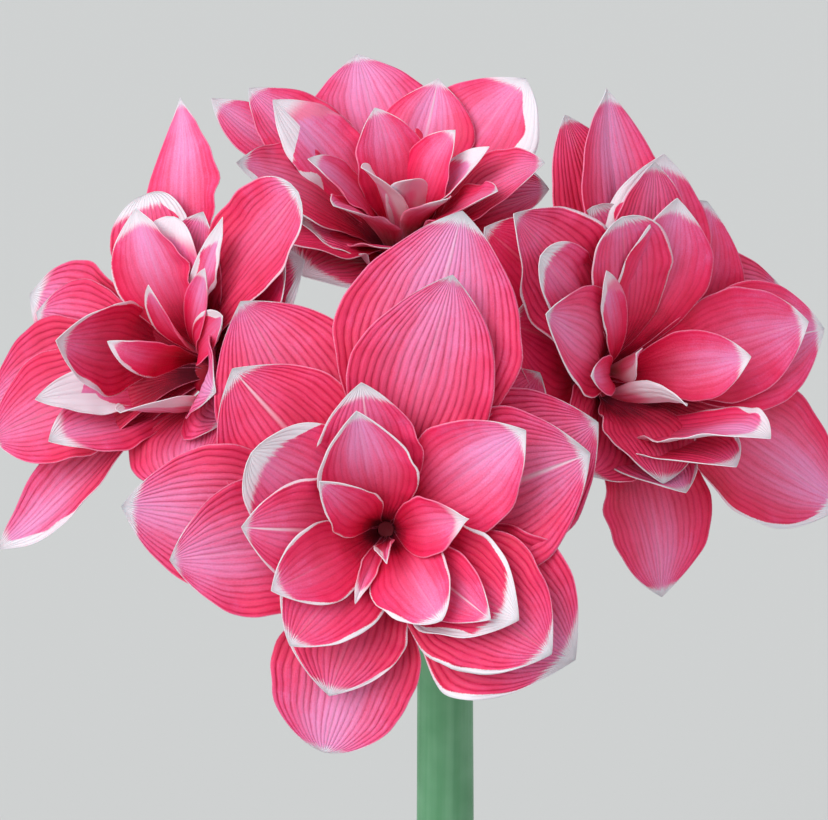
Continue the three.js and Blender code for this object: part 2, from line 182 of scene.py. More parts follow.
FRONT: dict[Whorl, list[Row]] = {
    Whorl.OUTER: [
        petal(13, 124, 70, tip=5, wash=1.0, tone=0.1, hook=4, midrib=0.4),
        petal(62, 91, 62, tip=2, wash=0.3, tone=-0.1),
        petal(121, 86, 67, right=2.4, tip=6, tone=-0.05, wash=0.6, ruffle=2.4),
        petal(-167, 86, 56, point=0.65, wash=0.9, tone=0.2, tip=1),
        petal(-84, 97, 56, tip=5, wash=0.8, hook=3, tone=0.05),
        petal(-33, 102, 60, tip=2, tone=-0.15, wash=0.3),
    ],
    Whorl.SECOND: [
        petal(13.5, 101, 56, tip=1.5, tone=0.15, wash=0.6, veining=1.0),
        petal(67, 84, 62, tip=4, midrib=0.9, keel=8, tone=0.0, wash=0.5),
        petal(123, 77, 56, right=1.8, tip=4, tone=-0.2, wash=0.2),
        petal(-165, 63, 46, left=1.0, right=1.0, tip=3, tone=-0.2, wash=0.2),
        petal(-98, 78, 54, tip=2, wash=0.7, tone=0.1),
        petal(-41.5, 83, 58, tip=4, midrib=0.8, tone=-0.3, wash=0.1),
    ],
    Whorl.THIRD: [
        petal(-7, 58, 40, tip=6, left=1.0, tone=0.05, wash=0.4, midrib=0.7),
        petal(53, 68, 44, tip=4, tone=0.2, wash=0.9, veining=0.4),
        petal(118, 60, 44, right=5.5, left=1.4, tip=9, roll_right=70, roll_from=0.7, tone=-0.3, wash=0.1),
        petal(-143, 51, 40, left=1.8, right=1.2, tip=3, tone=-0.2, wash=0.2),
        petal(-85, 50, 42, rise=38.5, midrib=1.0, tip=2, tone=-0.15, left=0.9, right=0.9, ruffle=2.0),
        petal(-57, 57, 46, widest=0.68, point=0.55, right=7.0, left=1.0, tip=8, roll_right=-45,
              roll_from=0.5, hook=3, tone=-0.05, wash=0.5),
        petal(42, 84, 52, rise=1, leave=35, arrive=98, tip=1, tone=-0.35, wash=0.1, pleat=0.35),
    ],
    Whorl.INNER: [
        petal(-10, 48, 40, left=1.8, right=1.3, tip=3, keel=12, wash=0.9, tone=0.05),
        petal(76, 37, 24, tip=10, wash=0.5, tone=0.1, keel=10, point=1.3, hook=3),
        petal(123, 51, 28, tip=2, midrib=0.9, tone=-0.05),
        petal(138, 38, 34, tip=3, left=0.9, right=2.2, tone=0.1, wash=0.5, point=0.7),
        petal(-116, 43, 32, tip=4, left=1.1, right=1.4, tone=-0.1, wash=0.2),
        petal(-46, 30, 22, tip=2, left=1.2, right=1.2, keel=12, tone=0.0, wash=0.3),
    ],
    Whorl.SLIVER: [
        petal(-164, 26, 8, rise=30, tip=7, left=0.7, right=0.7, tone=0.2, keel=30),
        petal(158, 10, 9, rise=32, tip=2, right=2.0, tone=0.0, keel=40, arrive=25),
    ],
}

LEFT: dict[Whorl, list[Row]] = {
    Whorl.OUTER: [
        petal(-16, 104, 38, tip=3, wash=0.85, tone=0.3, hook=2, veining=0.3, point=1.15, widest=0.52,
              bow=6),
        petal(-22, 67, 44, **BLUNT, tone=-0.1, wash=0.2, right=6, tip=6),
        petal(-110, 100, 56, tip=3, wash=0.5, tone=-0.05),
        petal(-139, 121, 30, cup=(70, 34, 30), tip=9, left=4.0, wash=1.0, tone=0.45, hook=4, point=1.1,
              bow=-6),
        petal(54, 79, 46, roll_right=-60, right=6, tip=6, tone=-0.3, wash=0.1, ruffle=2.2),
        petal(123, 48, 50),
        petal(150, 53, 56),
        petal(-81, 93, 44, tip=9, wash=0.7, tone=0.15),
    ],
    Whorl.SECOND: [
        petal(2, 55, 34, **BLUNT, tip=10, wash=1.0, tone=0.5, veining=0.2),
        petal(10, 60, 38, rise=30, tip=3, wash=0.4, tone=0.0),
        petal(-123, 89, 50, tip=3, tone=-0.1),
        petal(41, 97, 46, **BLUNT, right=0.8, tone=-0.25, wash=0.3, ruffle=2.6, pleat=0.9),
        petal(-146, 49, 34, rise=50, leave=75, arrive=40, tip=8, wash=0.6, tone=0.2),
        petal(113, 44, 44, wash=0.6),
        petal(-86, 74, 42, tip=3, left=1.4, tone=0.1),
    ],
    Whorl.THIRD: [
        petal(-16, 57, 39, tip=7, left=1.0, tone=0.0, wash=0.9, veining=0.3, keel=10, bow=3),
        petal(51, 76, 42, rise=26, **BLUNT, tone=-0.5, wash=0.0, veining=0.3, left=1.6, right=0.8,
              ruffle=1.6),
        petal(-86, 17, 38, rise=62, leave=75, arrive=5, tip=5, left=2, right=2, wash=0.3, tone=-0.2),
        petal(164, 23, 36, rise=44, **FOLDED, tip=6, left=5, right=5, wash=1.0, tone=0.2),
        petal(99, 52, 34, rise=42, leave=50, tip=3, wash=1.0, tone=0.4, veining=1.0),
        petal(-126, 43, 21, rise=50, leave=70, arrive=35, left=14, right=10, tip=12, wash=1.0, tone=0.5,
              ruffle=1.8),
    ],
    Whorl.INNER: [
        petal(30, 69, 14, tip=16, left=4, right=4, wash=1.0, tone=0.3, keel=16, veining=0.2),
    ],
    Whorl.SLIVER: [
        petal(8, 28, 16, rise=40, tip=4, left=1.2, wash=0.4, tone=0.2, veining=0.2),
        petal(39, 50, 16, rise=40, tip=7, wash=0.8, tone=0.3, veining=0.2),
        petal(-65, 5, 18, rise=48, tip=3, left=1.6, wash=0.3, tone=0.0, veining=0.2),
        petal(64, 51, 20, rise=40, tip=4, left=2.0, wash=0.5, tone=0.1, veining=0.2),
    ],
}

RIGHT: dict[Whorl, list[Row]] = {
    Whorl.OUTER: [
        petal(-6, 103, 46, rise=6, tone=-0.4, wash=0.1),
        petal(6, 110, 43, rise=18, keel=14, tip=5, wash=0.9, tone=0.0, hook=3, veining=0.5, point=1.15,
              bow=-2),
        petal(37, 77, 62, wash=0.3, tone=-0.05, veining=0.4),
        petal(77, 92, 56, wash=0.6, tip=3, tone=-0.15, midrib=1.0),
        petal(127, 113, 60, tip=10, right=2.2, wash=0.85, tone=-0.1, hook=3, veining=0.5, point=1.05),
        petal(-178, 88, 55, tip=3, wash=0.6, tone=-0.2, point=1.0, veining=0.6),
        petal(-41, 86, 58, tone=-0.5, wash=0.0, veining=0.4),
        petal(-64, 67, 54, tone=-0.5, wash=0.0, veining=0.4),
    ],
    Whorl.SECOND: [
        petal(10, 80, 44, tone=-0.15, wash=0.3),
        petal(16, 85, 50, rise=30, roll_left=-70, left=9, tip=6, tone=0.05, wash=0.5, veining=0.4),
        petal(90, 87, 52, tip=4, midrib=0.9, wash=0.6, tone=-0.05, veining=0.4),
        petal(174, 41, 46, rise=62, leave=85, arrive=30, tip=5, left=1.2, right=1.6, tone=-0.35, wash=0.1),
        petal(-170, 44, 46, tone=-0.4, wash=0.1, left=0.8, right=0.8),
        petal(-42, 90, 50, wave=4, tone=-0.15, wash=0.2, left=0.9, right=0.9, ruffle=2.2, pleat=0.9),
        petal(-130, 51, 46, tone=-0.45, wash=0.1),
        petal(-12, 67, 42, **BLUNT, left=0.6, tone=-0.1, wash=0.2, ruffle=1.8),
        petal(-179.5, 48, 40, rise=40, leave=70, arrive=40, wash=1.0, tone=0.3, left=1.2, right=1.2),
    ],
    Whorl.THIRD: [
        petal(15, 66, 46, tip=6, left=2.4, wash=0.5, tone=0.1, keel=8, veining=0.3),
        petal(-9, 61, 44, **BLUNT, left=0.8, right=0.8, tone=-0.1, wash=0.3),
        petal(-48, 74, 34, **BLUNT, tip=6, left=1.2, tone=-0.1, ruffle=2.6, pleat=0.8, wash=0.4),
        petal(-65, 66, 42, rise=40, left=1.0, tip=2, tone=-0.05, wash=0.6),
        petal(84, 75, 46, wash=0.4, tone=0.1, tip=4, veining=0.3),
        petal(171, 32, 40, rise=77, leave=75, arrive=22, tip=11, left=4, right=6, wash=1.0, tone=0.35),
    ],
    Whorl.INNER: [
        petal(92, 38, 30, tip=4, wash=0.7, tone=0.15, veining=0.2),
    ],
    Whorl.SLIVER: [
        petal(-137, 19, 16, rise=56, leave=40, arrive=30, tip=14, left=4, right=4, wash=1.0, tone=0.5),
        petal(-34, 49, 16, rise=40, tip=14, left=2, wash=0.8, tone=0.3, veining=0.2),
        petal(-63, 21, 14, rise=40, tip=3, left=1.0, tone=0.0, veining=0.2),
        petal(-84, 43, 16, rise=40, tip=6, wash=0.5, tone=0.1, veining=0.2),
    ],
}

BACK: dict[Whorl, list[Row]] = {
    Whorl.OUTER: [
        petal(-14, 89, 54, tip=3, wash=0.9, tone=0.2, veining=0.5),
        petal(43, 76, 54, roll_right=-50, right=10, tip=6, wash=0.6, tone=0.05, veining=0.4),
        petal(-51, 81, 42, tip=3, wash=0.6, tone=0.05, veining=0.5),
        petal(-131, 52, 66, rise=16, arrive=100, tip=7, left=3, right=5, tone=-0.3, wash=0.2, ruffle=2.4),
        petal(93, 58, 50, tone=-0.15, ruffle=2.6, left=1.4, pleat=0.8),
        petal(147, 37, 60, rise=16, arrive=95, tip=7, left=3, right=3, tone=-0.1),
        petal(119, 57, 50, rise=20, tone=-0.2, left=0.9, right=0.9),
    ],
    Whorl.SECOND: [
        petal(12, 62, 42, tip=3, wash=0.9, tone=-0.05, midrib=0.8, veining=0.4, point=1.2),
        petal(-59, 91, 36, tip=5, wash=0.7, tone=0.2, veining=0.4),
        petal(-58, 62, 36, roll_left=-30, left=13, tip=16, wash=1.0, tone=0.5, veining=0.3),
        petal(-95, 66, 46, left=2.6, tip=4, tone=-0.2, ruffle=2.4),
        petal(97, 56, 44, tone=-0.1, tip=2),
        petal(170, 39, 50, rise=34, tip=3, tone=-0.2),
        petal(-113, 44, 50, rise=30, left=1.2, right=1.2, tip=4, tone=-0.15, ruffle=2.2),
    ],
    Whorl.THIRD: [
        petal(-26, 29, 32, tip=2, wash=0.6, tone=0.15, veining=0.3),
        petal(-96, 38, 26, tip=5, wash=0.7, tone=0.3, veining=0.3),
        petal(59, 24, 30, wash=0.4, tone=0.0, tip=2, veining=0.3),
        petal(124, 45, 30, wash=0.3, tone=-0.1, tip=2),
        petal(-140, 44, 30, wash=0.3, tip=3),
        petal(-112, 60, 50, rise=24, arrive=85, leave=30, wash=0.1, tone=-0.4, pleat=0.35, left=0.8,
              right=0.8),
    ],
    Whorl.SLIVER: [
        petal(85, 34, 20, tip=14, left=3, right=2, wash=1.0, tone=0.4, veining=0.2),
        petal(-124, 20, 24, tip=14, left=2, right=2, wash=1.0, tone=0.7, veining=0.1),
        petal(169, 19, 18, tip=12, left=2, right=2, wash=1.0, tone=0.7, veining=0.1),
        petal(152, 35, 20, wash=0.4, tip=2, veining=0.2),
    ],
}
BACK_WHORLS: dict[Whorl, dict[str, object]] = {
    Whorl.OUTER: {"rise": 34, "arrive": 72, "leave": 30},
    Whorl.SECOND: {"rise": 42, "arrive": 62},
    Whorl.THIRD: {"rise": 48, "arrive": 50},
    Whorl.INNER: {"rise": 48, "arrive": 40},
    Whorl.SLIVER: {"rise": 48, "arrive": 40},
}

PETAL_THICKNESS = 0.9
PETAL_MARGIN = 0.35
LEAF_MARGIN = 0.3
LEAF_THICKNESS = 2.6
BRACT_THICKNESS = 0.5
TUNIC_THICKNESS = 0.35


def smoothstep(low: float, high: float, value: float) -> float:
    """Ease a value from 0 at low to 1 at high."""
    share = min(max((value - low) / (high - low), 0.0), 1.0)
    return share * share * (3.0 - 2.0 * share)


class Spine:
    """The arc that a blade's middle follows, as radius and height from the blade's own axis."""

    PIECES = 96

    def __init__(self, blade: Blade) -> None:
        """Lay the arc out from the blade's root to its tip.

        Args:
            blade: The blade whose root, tip and angles shape the arc.
        """
        form = blade.form
        root = Vector((form.root_radius, -form.root_depth))
        tip = Vector((blade.reach, form.rise))
        handle = 0.4 * (tip - root).length
        leave = Vector((math.sin(math.radians(form.leave)), math.cos(math.radians(form.leave))))
        arrive = Vector((math.sin(math.radians(form.arrive)), math.cos(math.radians(form.arrive))))
        knots = [root, root + leave * handle, tip - arrive * handle, tip]
        flat = [knot.to_3d() for knot in knots]
        self.points = geometry.interpolate_bezier(*flat, self.PIECES + 1)
        self.lengths = [0.0]
        for near, far in zip(self.points, self.points[1:]):
            self.lengths.append(self.lengths[-1] + (far - near).length)

    def at(self, share: float) -> tuple[Vector, Vector]:
        """Find a place on the arc.

        Args:
            share: The share of the arc's length from the root.

        Returns:
            The place and the direction there, as radius and height.
        """
        wanted = share * self.lengths[-1]
        piece = 0
        while piece < self.PIECES - 1 and self.lengths[piece + 1] < wanted:
            piece += 1
        near, far = self.points[piece], self.points[piece + 1]
        step = (wanted - self.lengths[piece]) / max(self.lengths[piece + 1] - self.lengths[piece], 1e-9)
        return near.lerp(far, step), (far - near).normalized()


class BladeSurface:
    """The middle surface of a blade, with its cup, curl, ruffle and pleats."""

    CUTS = 48
    LEAN = 0.03
    DRIFT = 0.13
    NICKS = 0.035
    WHITE_STARTS = 0.35
    WHITE_FULL = 0.85
    GROOVE_DEPTH = 0.45
    GROOVE_WIDTH = 0.07
    HOOK_STARTS = 0.72

    def __init__(self, blade: Blade, seed: int) -> None:
        """Prepare a blade's surface.

        Args:
            blade: The blade to shape.
            seed: What the ruffle and pleats start from.
        """
        self.blade = blade
        self.form = blade.form
        self.spine = Spine(blade)
        chance = random.Random(seed)
        self.length = self.spine.lengths[-1]
        self.phases = [chance.uniform(0.0, 2.0 * math.pi) for _ in range(6)]
        self.waves = chance.uniform(2.0, 3.4)
        self.lean = chance.uniform(-self.LEAN, self.LEAN)
        self.offset = Vector((chance.uniform(-50, 50), chance.uniform(-50, 50), chance.uniform(-50, 50)))
        self.sections: dict[tuple[float, int], tuple[list[float], list[float], list[float]]] = {}

    def width_share(self, v: float) -> float:
        """Give the share of the full width at a share of the length."""
        form = self.form
        if v < form.widest:
            climb = math.sin(math.pi / 2 * (v / form.widest) ** form.swell)
            return form.root + (1.0 - form.root) * climb
        past = (v - form.widest) / (1.0 - form.widest)
        return max(1.0 - past**2.1, 0.0) ** form.point

    def half_width(self, u: float, v: float) -> float:
        """Give the half width in millimetres on one side of the midrib, a little uneven as in life."""
        even = self.blade.width / 2 * self.width_share(v)
        drift = noise.noise(Vector((v * 2.6, 9.0 if u < 0 else -9.0, 0.0)) + self.offset)
        nicks = noise.noise(Vector((v * 11.0, 4.0 if u < 0 else -4.0, 7.0)) + self.offset)
        return even * (1.0 + self.DRIFT * drift + self.NICKS * nicks)

    def clear_of_margin(self, u: float, v: float) -> float:
        """Give how many millimetres a place lies inside the margin's uneven line of white."""
        own = self.form.left if u < 0 else self.form.right
        uneven = noise.noise(Vector((v * 6.0, 2.0 if u < 0 else -2.0, 11.0)) + self.offset)
        border = own * smoothstep(self.WHITE_STARTS, self.WHITE_FULL, v) * (0.8 + 1.6 * uneven)
        return (1.0 - abs(u)) * self.half_width(u, v) - max(border, 0.0)

    def clear_of_tip(self, u: float, v: float) -> float:
        """Give how many millimetres a place lies below the white of the tip."""
        return (1.0 - v) * self.length - self.form.tip * (0.8 + 0.6 * u * u)

    def slope(self, v: float, side: int, t: float) -> float:
        """Give the angle in radians of the cross-section, a share t of the way out to one margin."""
        form = self.form
        cup = form.cup[0] * (1 - v) ** 2 + 2 * form.cup[1] * v * (1 - v) + form.cup[2] * v**2
        roll = form.roll_left if side < 0 else form.roll_right
        curl = roll * math.sin(math.pi * min(max(v * 1.15 - 0.1, 0.0), 1.0)) ** 0.7
        past = max((t - form.roll_from) / (1.0 - form.roll_from), 0.0)
        return math.radians(form.keel * v**2 + cup * t + curl * past**1.3)

    def section(self, v: float, side: int) -> tuple[list[float], list[float], list[float]]:
        """Follow the cross-section out to one margin.

        Args:
            v: The share of the length from the root.
            side: -1 for the left margin and 1 for the right.

        Returns:
            Lists of how far out, how far up and the slope, at even steps.
        """
        key = (v, side)
        if key not in self.sections:
            outs, ups, slopes = [0.0], [0.0], [self.slope(v, side, 0.0)]
            for cut in range(self.CUTS):
                angle = self.slope(v, side, (cut + 0.5) / self.CUTS)
                outs.append(outs[-1] + math.cos(angle) / self.CUTS)
                ups.append(ups[-1] + math.sin(angle) / self.CUTS)
                slopes.append(self.slope(v, side, (cut + 1) / self.CUTS))
            self.sections[key] = (outs, ups, slopes)
        return self.sections[key]

    def relief(self, u: float, v: float) -> float:
        """Give how far the surface stands off its plain form: waves, ruffled margin, pleats and midrib."""
        form = self.form
        side = 1 if u < 0 else 0
        reach = abs(u)
        ends = math.sin(math.pi * v) if v > 0 else 0.0
        wave = form.wave * reach**1.6 * math.sin(4 * math.pi * v + (2.2 if u < 0 else 0.0)) * ends
        margin = reach**2.4 * ends * smoothstep(0.2, 0.6, v)
        ruffle = math.sin(2 * math.pi * self.waves * v + self.phases[side])
        ruffle += 0.55 * math.sin(2 * math.pi * self.waves * 2.3 * v + self.phases[2 + side])
        ruffle *= 0.6 + noise.noise(Vector((v * 3.0, side * 5.0, 3.0)) + self.offset)
        folds = math.cos(3.2 * math.pi * u + self.phases[4])
        pleats = form.pleat * folds * smoothstep(0.15, 0.5, v) * (1 - v)
        spot = Vector((u * 1.3, v * 2.4, 0.0)) + self.offset
        soft = (3.6 * noise.noise(spot) + 1.5 * noise.noise(spot * 2.3)) * (form.pleat + 0.15) * ends
        groove = -self.GROOVE_DEPTH * math.exp(-((u / self.GROOVE_WIDTH) ** 2))
        groove *= smoothstep(0.1, 0.4, v) * smoothstep(1.0, 0.6, v)
        return wave + form.ruffle * margin * ruffle + 2 * pleats + soft + groove

    def place(self, x: float, y: float) -> Vector:
        """Find a point of the surface.

        Args:
            x: From the left margin, 0, to the right margin, 1.
            y: From the root, 0, to the tip, 1.

        Returns:
            The point in millimetres, in the frame of the blade's axis.
        """
        u = 2.0 * x - 1.0
        place, along = self.spine.at(y)
        turn = math.radians(self.blade.turn)
        radial = Vector((math.sin(turn), math.cos(turn), 0.0))
        side_way = Vector((math.cos(turn), -math.sin(turn), 0.0))
        inward = UP * along.x - radial * along.y
        half = self.half_width(u, y)
        side = -1 if u < 0 else 1
        outs, ups, slopes = self.section(y, side)
        step = min(int(abs(u) * self.CUTS), self.CUTS - 1)
        rest = abs(u) * self.CUTS - step
        out = outs[step] + (outs[step + 1] - outs[step]) * rest
        lift = ups[step] + (ups[step + 1] - ups[step]) * rest
        angle = slopes[step] + (slopes[step + 1] - slopes[step]) * rest
        normal = inward * math.cos(angle) - side_way * (side * math.sin(angle))
        bend = self.lean * self.length * smoothstep(0.2, 1.0, y) + self.form.bow * math.sin(math.pi * y)
        hook = inward * (self.form.hook * smoothstep(self.HOOK_STARTS, 1.0, y) ** 2)
        middle = radial * place.x + UP * place.y + side_way * bend + hook
        return middle + side_way * (side * half * out) + inward * (half * lift) + normal * self.relief(u, y)


def put_in_scene(name: str, data: bpy.types.ID) -> bpy.types.Object:
    """Make an object of a mesh, light or camera and link it to the scene."""
    made = bpy.data.objects.new(name, data)
    bpy.context.scene.collection.objects.link(made)
    return made


class PieceMesh:
    """A bmesh that grids, spun profiles and blades are added to, and that becomes one named piece.

    A margin's own white shows from FAINT_WHITE millimetres of width and is full from FULL_WHITE. Within
    TIP_NEAR to TIP_FAR millimetres of the tip, the margins turn white whatever their own white is.
    """

    FAINT_WHITE = 0.4
    FULL_WHITE = 1.2
    TIP_NEAR = 5.0
    TIP_FAR = 12.0

    def __init__(self) -> None:
        """Start with an empty mesh and its layers."""
        self.bm = bmesh.new()
        self.uv = self.bm.loops.layers.uv.new(UV_NAME)
        self.edge = self.bm.verts.layers.float_color.new(EDGE_NAME)
        self.tone = self.bm.verts.layers.float_color.new(TONE_NAME)
        self.flesh = self.bm.verts.layers.deform.new()

    def sheet(self, columns: int, rows: int, place: Callable[[float, float], Vector],
              crowd: float = 1.0) -> list[bmesh.types.BMVert]:
        """Add a grid and move each corner to its place.

        Args:
            columns: Faces across.
            rows: Faces along.
            place: Gives the place for the shares across and along.
            crowd: Over 1, the rows stand closer together towards the far end.

        Returns:
            The grid's corners.
        """
        made = bmesh.ops.create_grid(self.bm, x_segments=columns, y_segments=rows, size=1.0)["verts"]
        low = min(vert.co.x for vert in made)
        high = max(vert.co.x for vert in made)
        span = high - low
        shares = {}
        for vert in made:
            left_over = max((high - vert.co.y) / span, 0.0)
            shares[vert] = ((vert.co.x - low) / span, 1.0 - left_over**crowd)
        for face in {face for vert in made for face in vert.link_faces}:
            face.smooth = True
            for loop in face.loops:
                loop[self.uv].uv = shares[loop.vert]
        for vert, (x, y) in shares.items():
            vert.co = place(x, y)
        return made

    def blade(self, blade: Blade, seed: int, to_row: Matrix) -> None:
        """Add a petal or leaf with its edge and its tone, which carries painted shade, painted on.

        Args:
            blade: The blade to shape.
            seed: What its ruffle starts from.
            to_row: The way from the blade's millimetres to the row's metres.
        """
        form = blade.form
        surface = BladeSurface(blade, seed)
        made = self.sheet(form.columns, form.rows, surface.place, TIP_CROWDING)
        veins = min(blade.width / form.vein_gap / VEIN_SCALE, 1.0)
        # The tone that goes to the layer is partly the petal's own colour and partly painted shade.
        tone = min(max(0.5 + form.tone / 2, 0.0), 1.0)
        for vert in made:
            x, y = vert.link_loops[0][self.uv].uv
            u = 2.0 * x - 1.0
            aside = min(max(0.5 + surface.clear_of_margin(u, y) / CLEAR_SCALE, 0.0), 1.0)
            below = min(max(0.5 + surface.clear_of_tip(u, y) / CLEAR_SCALE / 2, 0.0), 1.0)
            own = form.left if u < 0 else form.right
            white = smoothstep(self.FAINT_WHITE, self.FULL_WHITE, own) * smoothstep(0.3, 0.65, y)
            white = max(white, smoothstep(self.TIP_FAR, self.TIP_NEAR, (1.0 - y) * surface.length))
            band = form.wash * smoothstep(0.95, 0.1, abs(u)) * smoothstep(0.25, 1.0, y)
            vert[self.edge] = (aside, white, form.midrib, below)
            vert[self.tone] = (band, tone, veins, form.veining)
            vert[self.flesh][0] = (1.0 - smoothstep(0.45, 1.0, abs(u))) * (1.0 - smoothstep(0.8, 1.0, y))
            vert.co = to_row @ vert.co
        bmesh.ops.remove_doubles(self.bm, verts=made, dist=SAME_PETAL_PLACE)

    def settle(self, made: list[bmesh.types.BMVert], closed: bool = True) -> None:
        """Bring corners to the row's metres and merge the ones that meet.

        Args:
            made: The corners, in millimetres.
            closed: Whether the mesh is a closed shell, whose faces are then turned outwards.
        """
        bmesh.ops.transform(self.bm, matrix=SCALE_TO_ROW, verts=made)
        bmesh.ops.remove_doubles(self.bm, verts=made, dist=SAME_PLACE)
        if closed:
            bmesh.ops.recalc_face_normals(self.bm, faces=self.bm.faces[:])

    def spun(self, profile: list[tuple[float, float]], sides: int, to_row: Matrix) -> None:
        """Spin a profile about the +Z axis.

        Args:
            profile: Radius and height pairs in millimetres, from one end on the axis to the other.
            sides: Faces round the axis.
            to_row: The way to the row's metres.
        """
        line = [self.bm.verts.new((radius, 0.0, height)) for radius, height in profile]
        edges = [self.bm.edges.new(pair) for pair in zip(line, line[1:])]
        known = set(self.bm.verts) - set(line)
        turn = {"angle": 2 * math.pi, "steps": sides, "use_merge": True}
        bmesh.ops.spin(self.bm, geom=[*line, *edges], cent=(0, 0, 0), axis=(0, 0, 1), **turn)
        made = [vert for vert in self.bm.verts if vert not in known]
        bmesh.ops.remove_doubles(self.bm, verts=made, dist=SAME_PROFILE_PLACE)
        made = [vert for vert in self.bm.verts if vert not in known]
        faces = list({face for vert in made for face in vert.link_faces})
        bmesh.ops.recalc_face_normals(self.bm, faces=faces)
        for face in faces:
            face.smooth = True
        bmesh.ops.transform(self.bm, matrix=to_row, verts=made)

    def piece(self, name: str, slot: str, materials: list[bpy.types.Material]) -> bpy.types.Object:
        """Finish the mesh as a named piece that rides on the plant's body.

        Args:
            name: The piece's name.
            slot: The record's material slot. It is not used.
            materials: The piece's materials, in the order of its faces' numbers.

        Returns:
            The piece.
        """
        mesh = bpy.data.meshes.new(name)
        self.bm.to_mesh(mesh)
        self.bm.free()
        for material in materials:
            mesh.materials.append(material)
        made = put_in_scene(name, mesh)
        made.vertex_groups.new(name="flesh")
        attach(made, BODY)
        LOG.info("%s: %d corners, %d faces", name, len(mesh.vertices), len(mesh.polygons))
        return made


def thicken(made: bpy.types.Object, thickness: float, thin: float, backs: int) -> None:
    """Give a sheet its thickness, thinner towards the margins.

    Args:
        made: The piece.
        thickness: The full thickness in millimetres.
        thin: The margin's share of it.
        backs: How far on in the piece's materials the back faces are.
    """
    solid = made.modifiers.new("thickness", "SOLIDIFY")
    solid.thickness = thickness * MM
    solid.offset = 0.0
    solid.vertex_group = "flesh"
    solid.thickness_vertex_group = thin
    solid.material_offset = backs
    solid.material_offset_rim = 0
    solid.use_even_offset = False
    solid.use_quality_normals = True


SCALE_TO_ROW = Matrix.Scale(MM, 4)


class Nodes:
    """A short hand for a shader node tree."""

    def __init__(self, tree: bpy.types.NodeTree) -> None:
        """Work in a node tree.

        Args:
            tree: The material's or group's tree.
        """
        self.tree = tree

    def add(self, kind: str, **values: object) -> bpy.types.Node:
        """Add a node and set its plain properties.

        Args:
            kind: The node's type name.
            values: Properties of the node.

        Returns:
            The node.
        """
        made = self.tree.nodes.new(kind)
        for name, value in values.items():
            setattr(made, name, value)
        return made

    def feed(self, socket: bpy.types.NodeSocket, value: object) -> None:
        """Link a socket or set its value, whichever value is."""
        if isinstance(value, bpy.types.NodeSocket):
            self.tree.links.new(value, socket)
        elif isinstance(value, tuple) and len(value) == 3 and socket.type == "RGBA":
            socket.default_value = (*value, 1.0)
        else:
            socket.default_value = value

    def math(self, operation: str, *values: object, clamp: bool = False) -> bpy.types.NodeSocket:
        """Work out a number from one to three numbers."""
        made = self.add("ShaderNodeMath", operation=operation, use_clamp=clamp)
        for socket, value in zip(made.inputs, values):
            self.feed(socket, value)
        return made.outputs[0]

    def times(self, *values: object, clamp: bool = False) -> bpy.types.NodeSocket:
        """Multiply two numbers."""
        return self.math("MULTIPLY", *values, clamp=clamp)

    def times_plus(self, *values: object, clamp: bool = False) -> bpy.types.NodeSocket:
        """Multiply two numbers and add a third."""
        return self.math("MULTIPLY_ADD", *values, clamp=clamp)

    def plus(self, *values: object) -> bpy.types.NodeSocket:
        """Add two numbers."""
        return self.math("ADD", *values)

    def minus(self, *values: object) -> bpy.types.NodeSocket:
        """Take the second number from the first."""
        return self.math("SUBTRACT", *values)

    def ease(self, value: object, low: object, high: object,
             to: tuple[float, float] = (0.0, 1.0)) -> bpy.types.NodeSocket:
        """Ease a number from to[0] at low to to[1] at high."""
        made = self.add("ShaderNodeMapRange", interpolation_type="SMOOTHSTEP")
        self.feed(made.inputs["Value"], value)
        self.feed(made.inputs["From Min"], low)
        self.feed(made.inputs["From Max"], high)
        self.feed(made.inputs["To Min"], to[0])
        self.feed(made.inputs["To Max"], to[1])
        return made.outputs["Result"]

    def mix(self, share: object, first: object, second: object) -> bpy.types.NodeSocket:
        """Mix two colours."""
        made = self.add("ShaderNodeMix", data_type="RGBA", blend_type="MIX")
        self.feed(made.inputs["Factor"], share)
        self.feed(made.inputs[6], first)
        self.feed(made.inputs[7], second)
        return made.outputs[2]

    def noise(self, vector: object, scale: object, detail: float = 2.0,
              rough: float = 0.5) -> bpy.types.NodeSocket:
        """Draw soft noise over a vector."""
        made = self.add("ShaderNodeTexNoise")
        self.feed(made.inputs["Vector"], vector)
        self.feed(made.inputs["Scale"], scale)
        self.feed(made.inputs["Detail"], detail)
        self.feed(made.inputs["Roughness"], rough)
        return made.outputs["Fac"]

    def stretch(self, vector: object, scale: Triple) -> bpy.types.NodeSocket:
        """Stretch a vector by a scale for each axis."""
        made = self.add("ShaderNodeMapping")
        self.feed(made.inputs["Vector"], vector)
        self.feed(made.inputs["Scale"], scale)
        return made.outputs["Vector"]

    def ramp(self, value: object, stops: list[tuple[float, Colour]]) -> bpy.types.NodeSocket:
        """Turn a number into a colour along a list of stops."""
        made = self.add("ShaderNodeValToRGB")
        while len(made.color_ramp.elements) < len(stops):
            made.color_ramp.elements.new(0.5)
        for element, (place, colour) in zip(made.color_ramp.elements, stops):
            element.position = place
            element.color = (*colour, 1.0)
        self.feed(made.inputs["Fac"], value)
        return made.outputs["Color"]

    def group(self, tree: bpy.types.NodeTree, **values: object) -> bpy.types.Node:
        """Place a node group and feed its inputs by name."""
        made = self.add("ShaderNodeGroup", node_tree=tree)
        for name, value in values.items():
            self.feed(made.inputs[name], value)
        return made


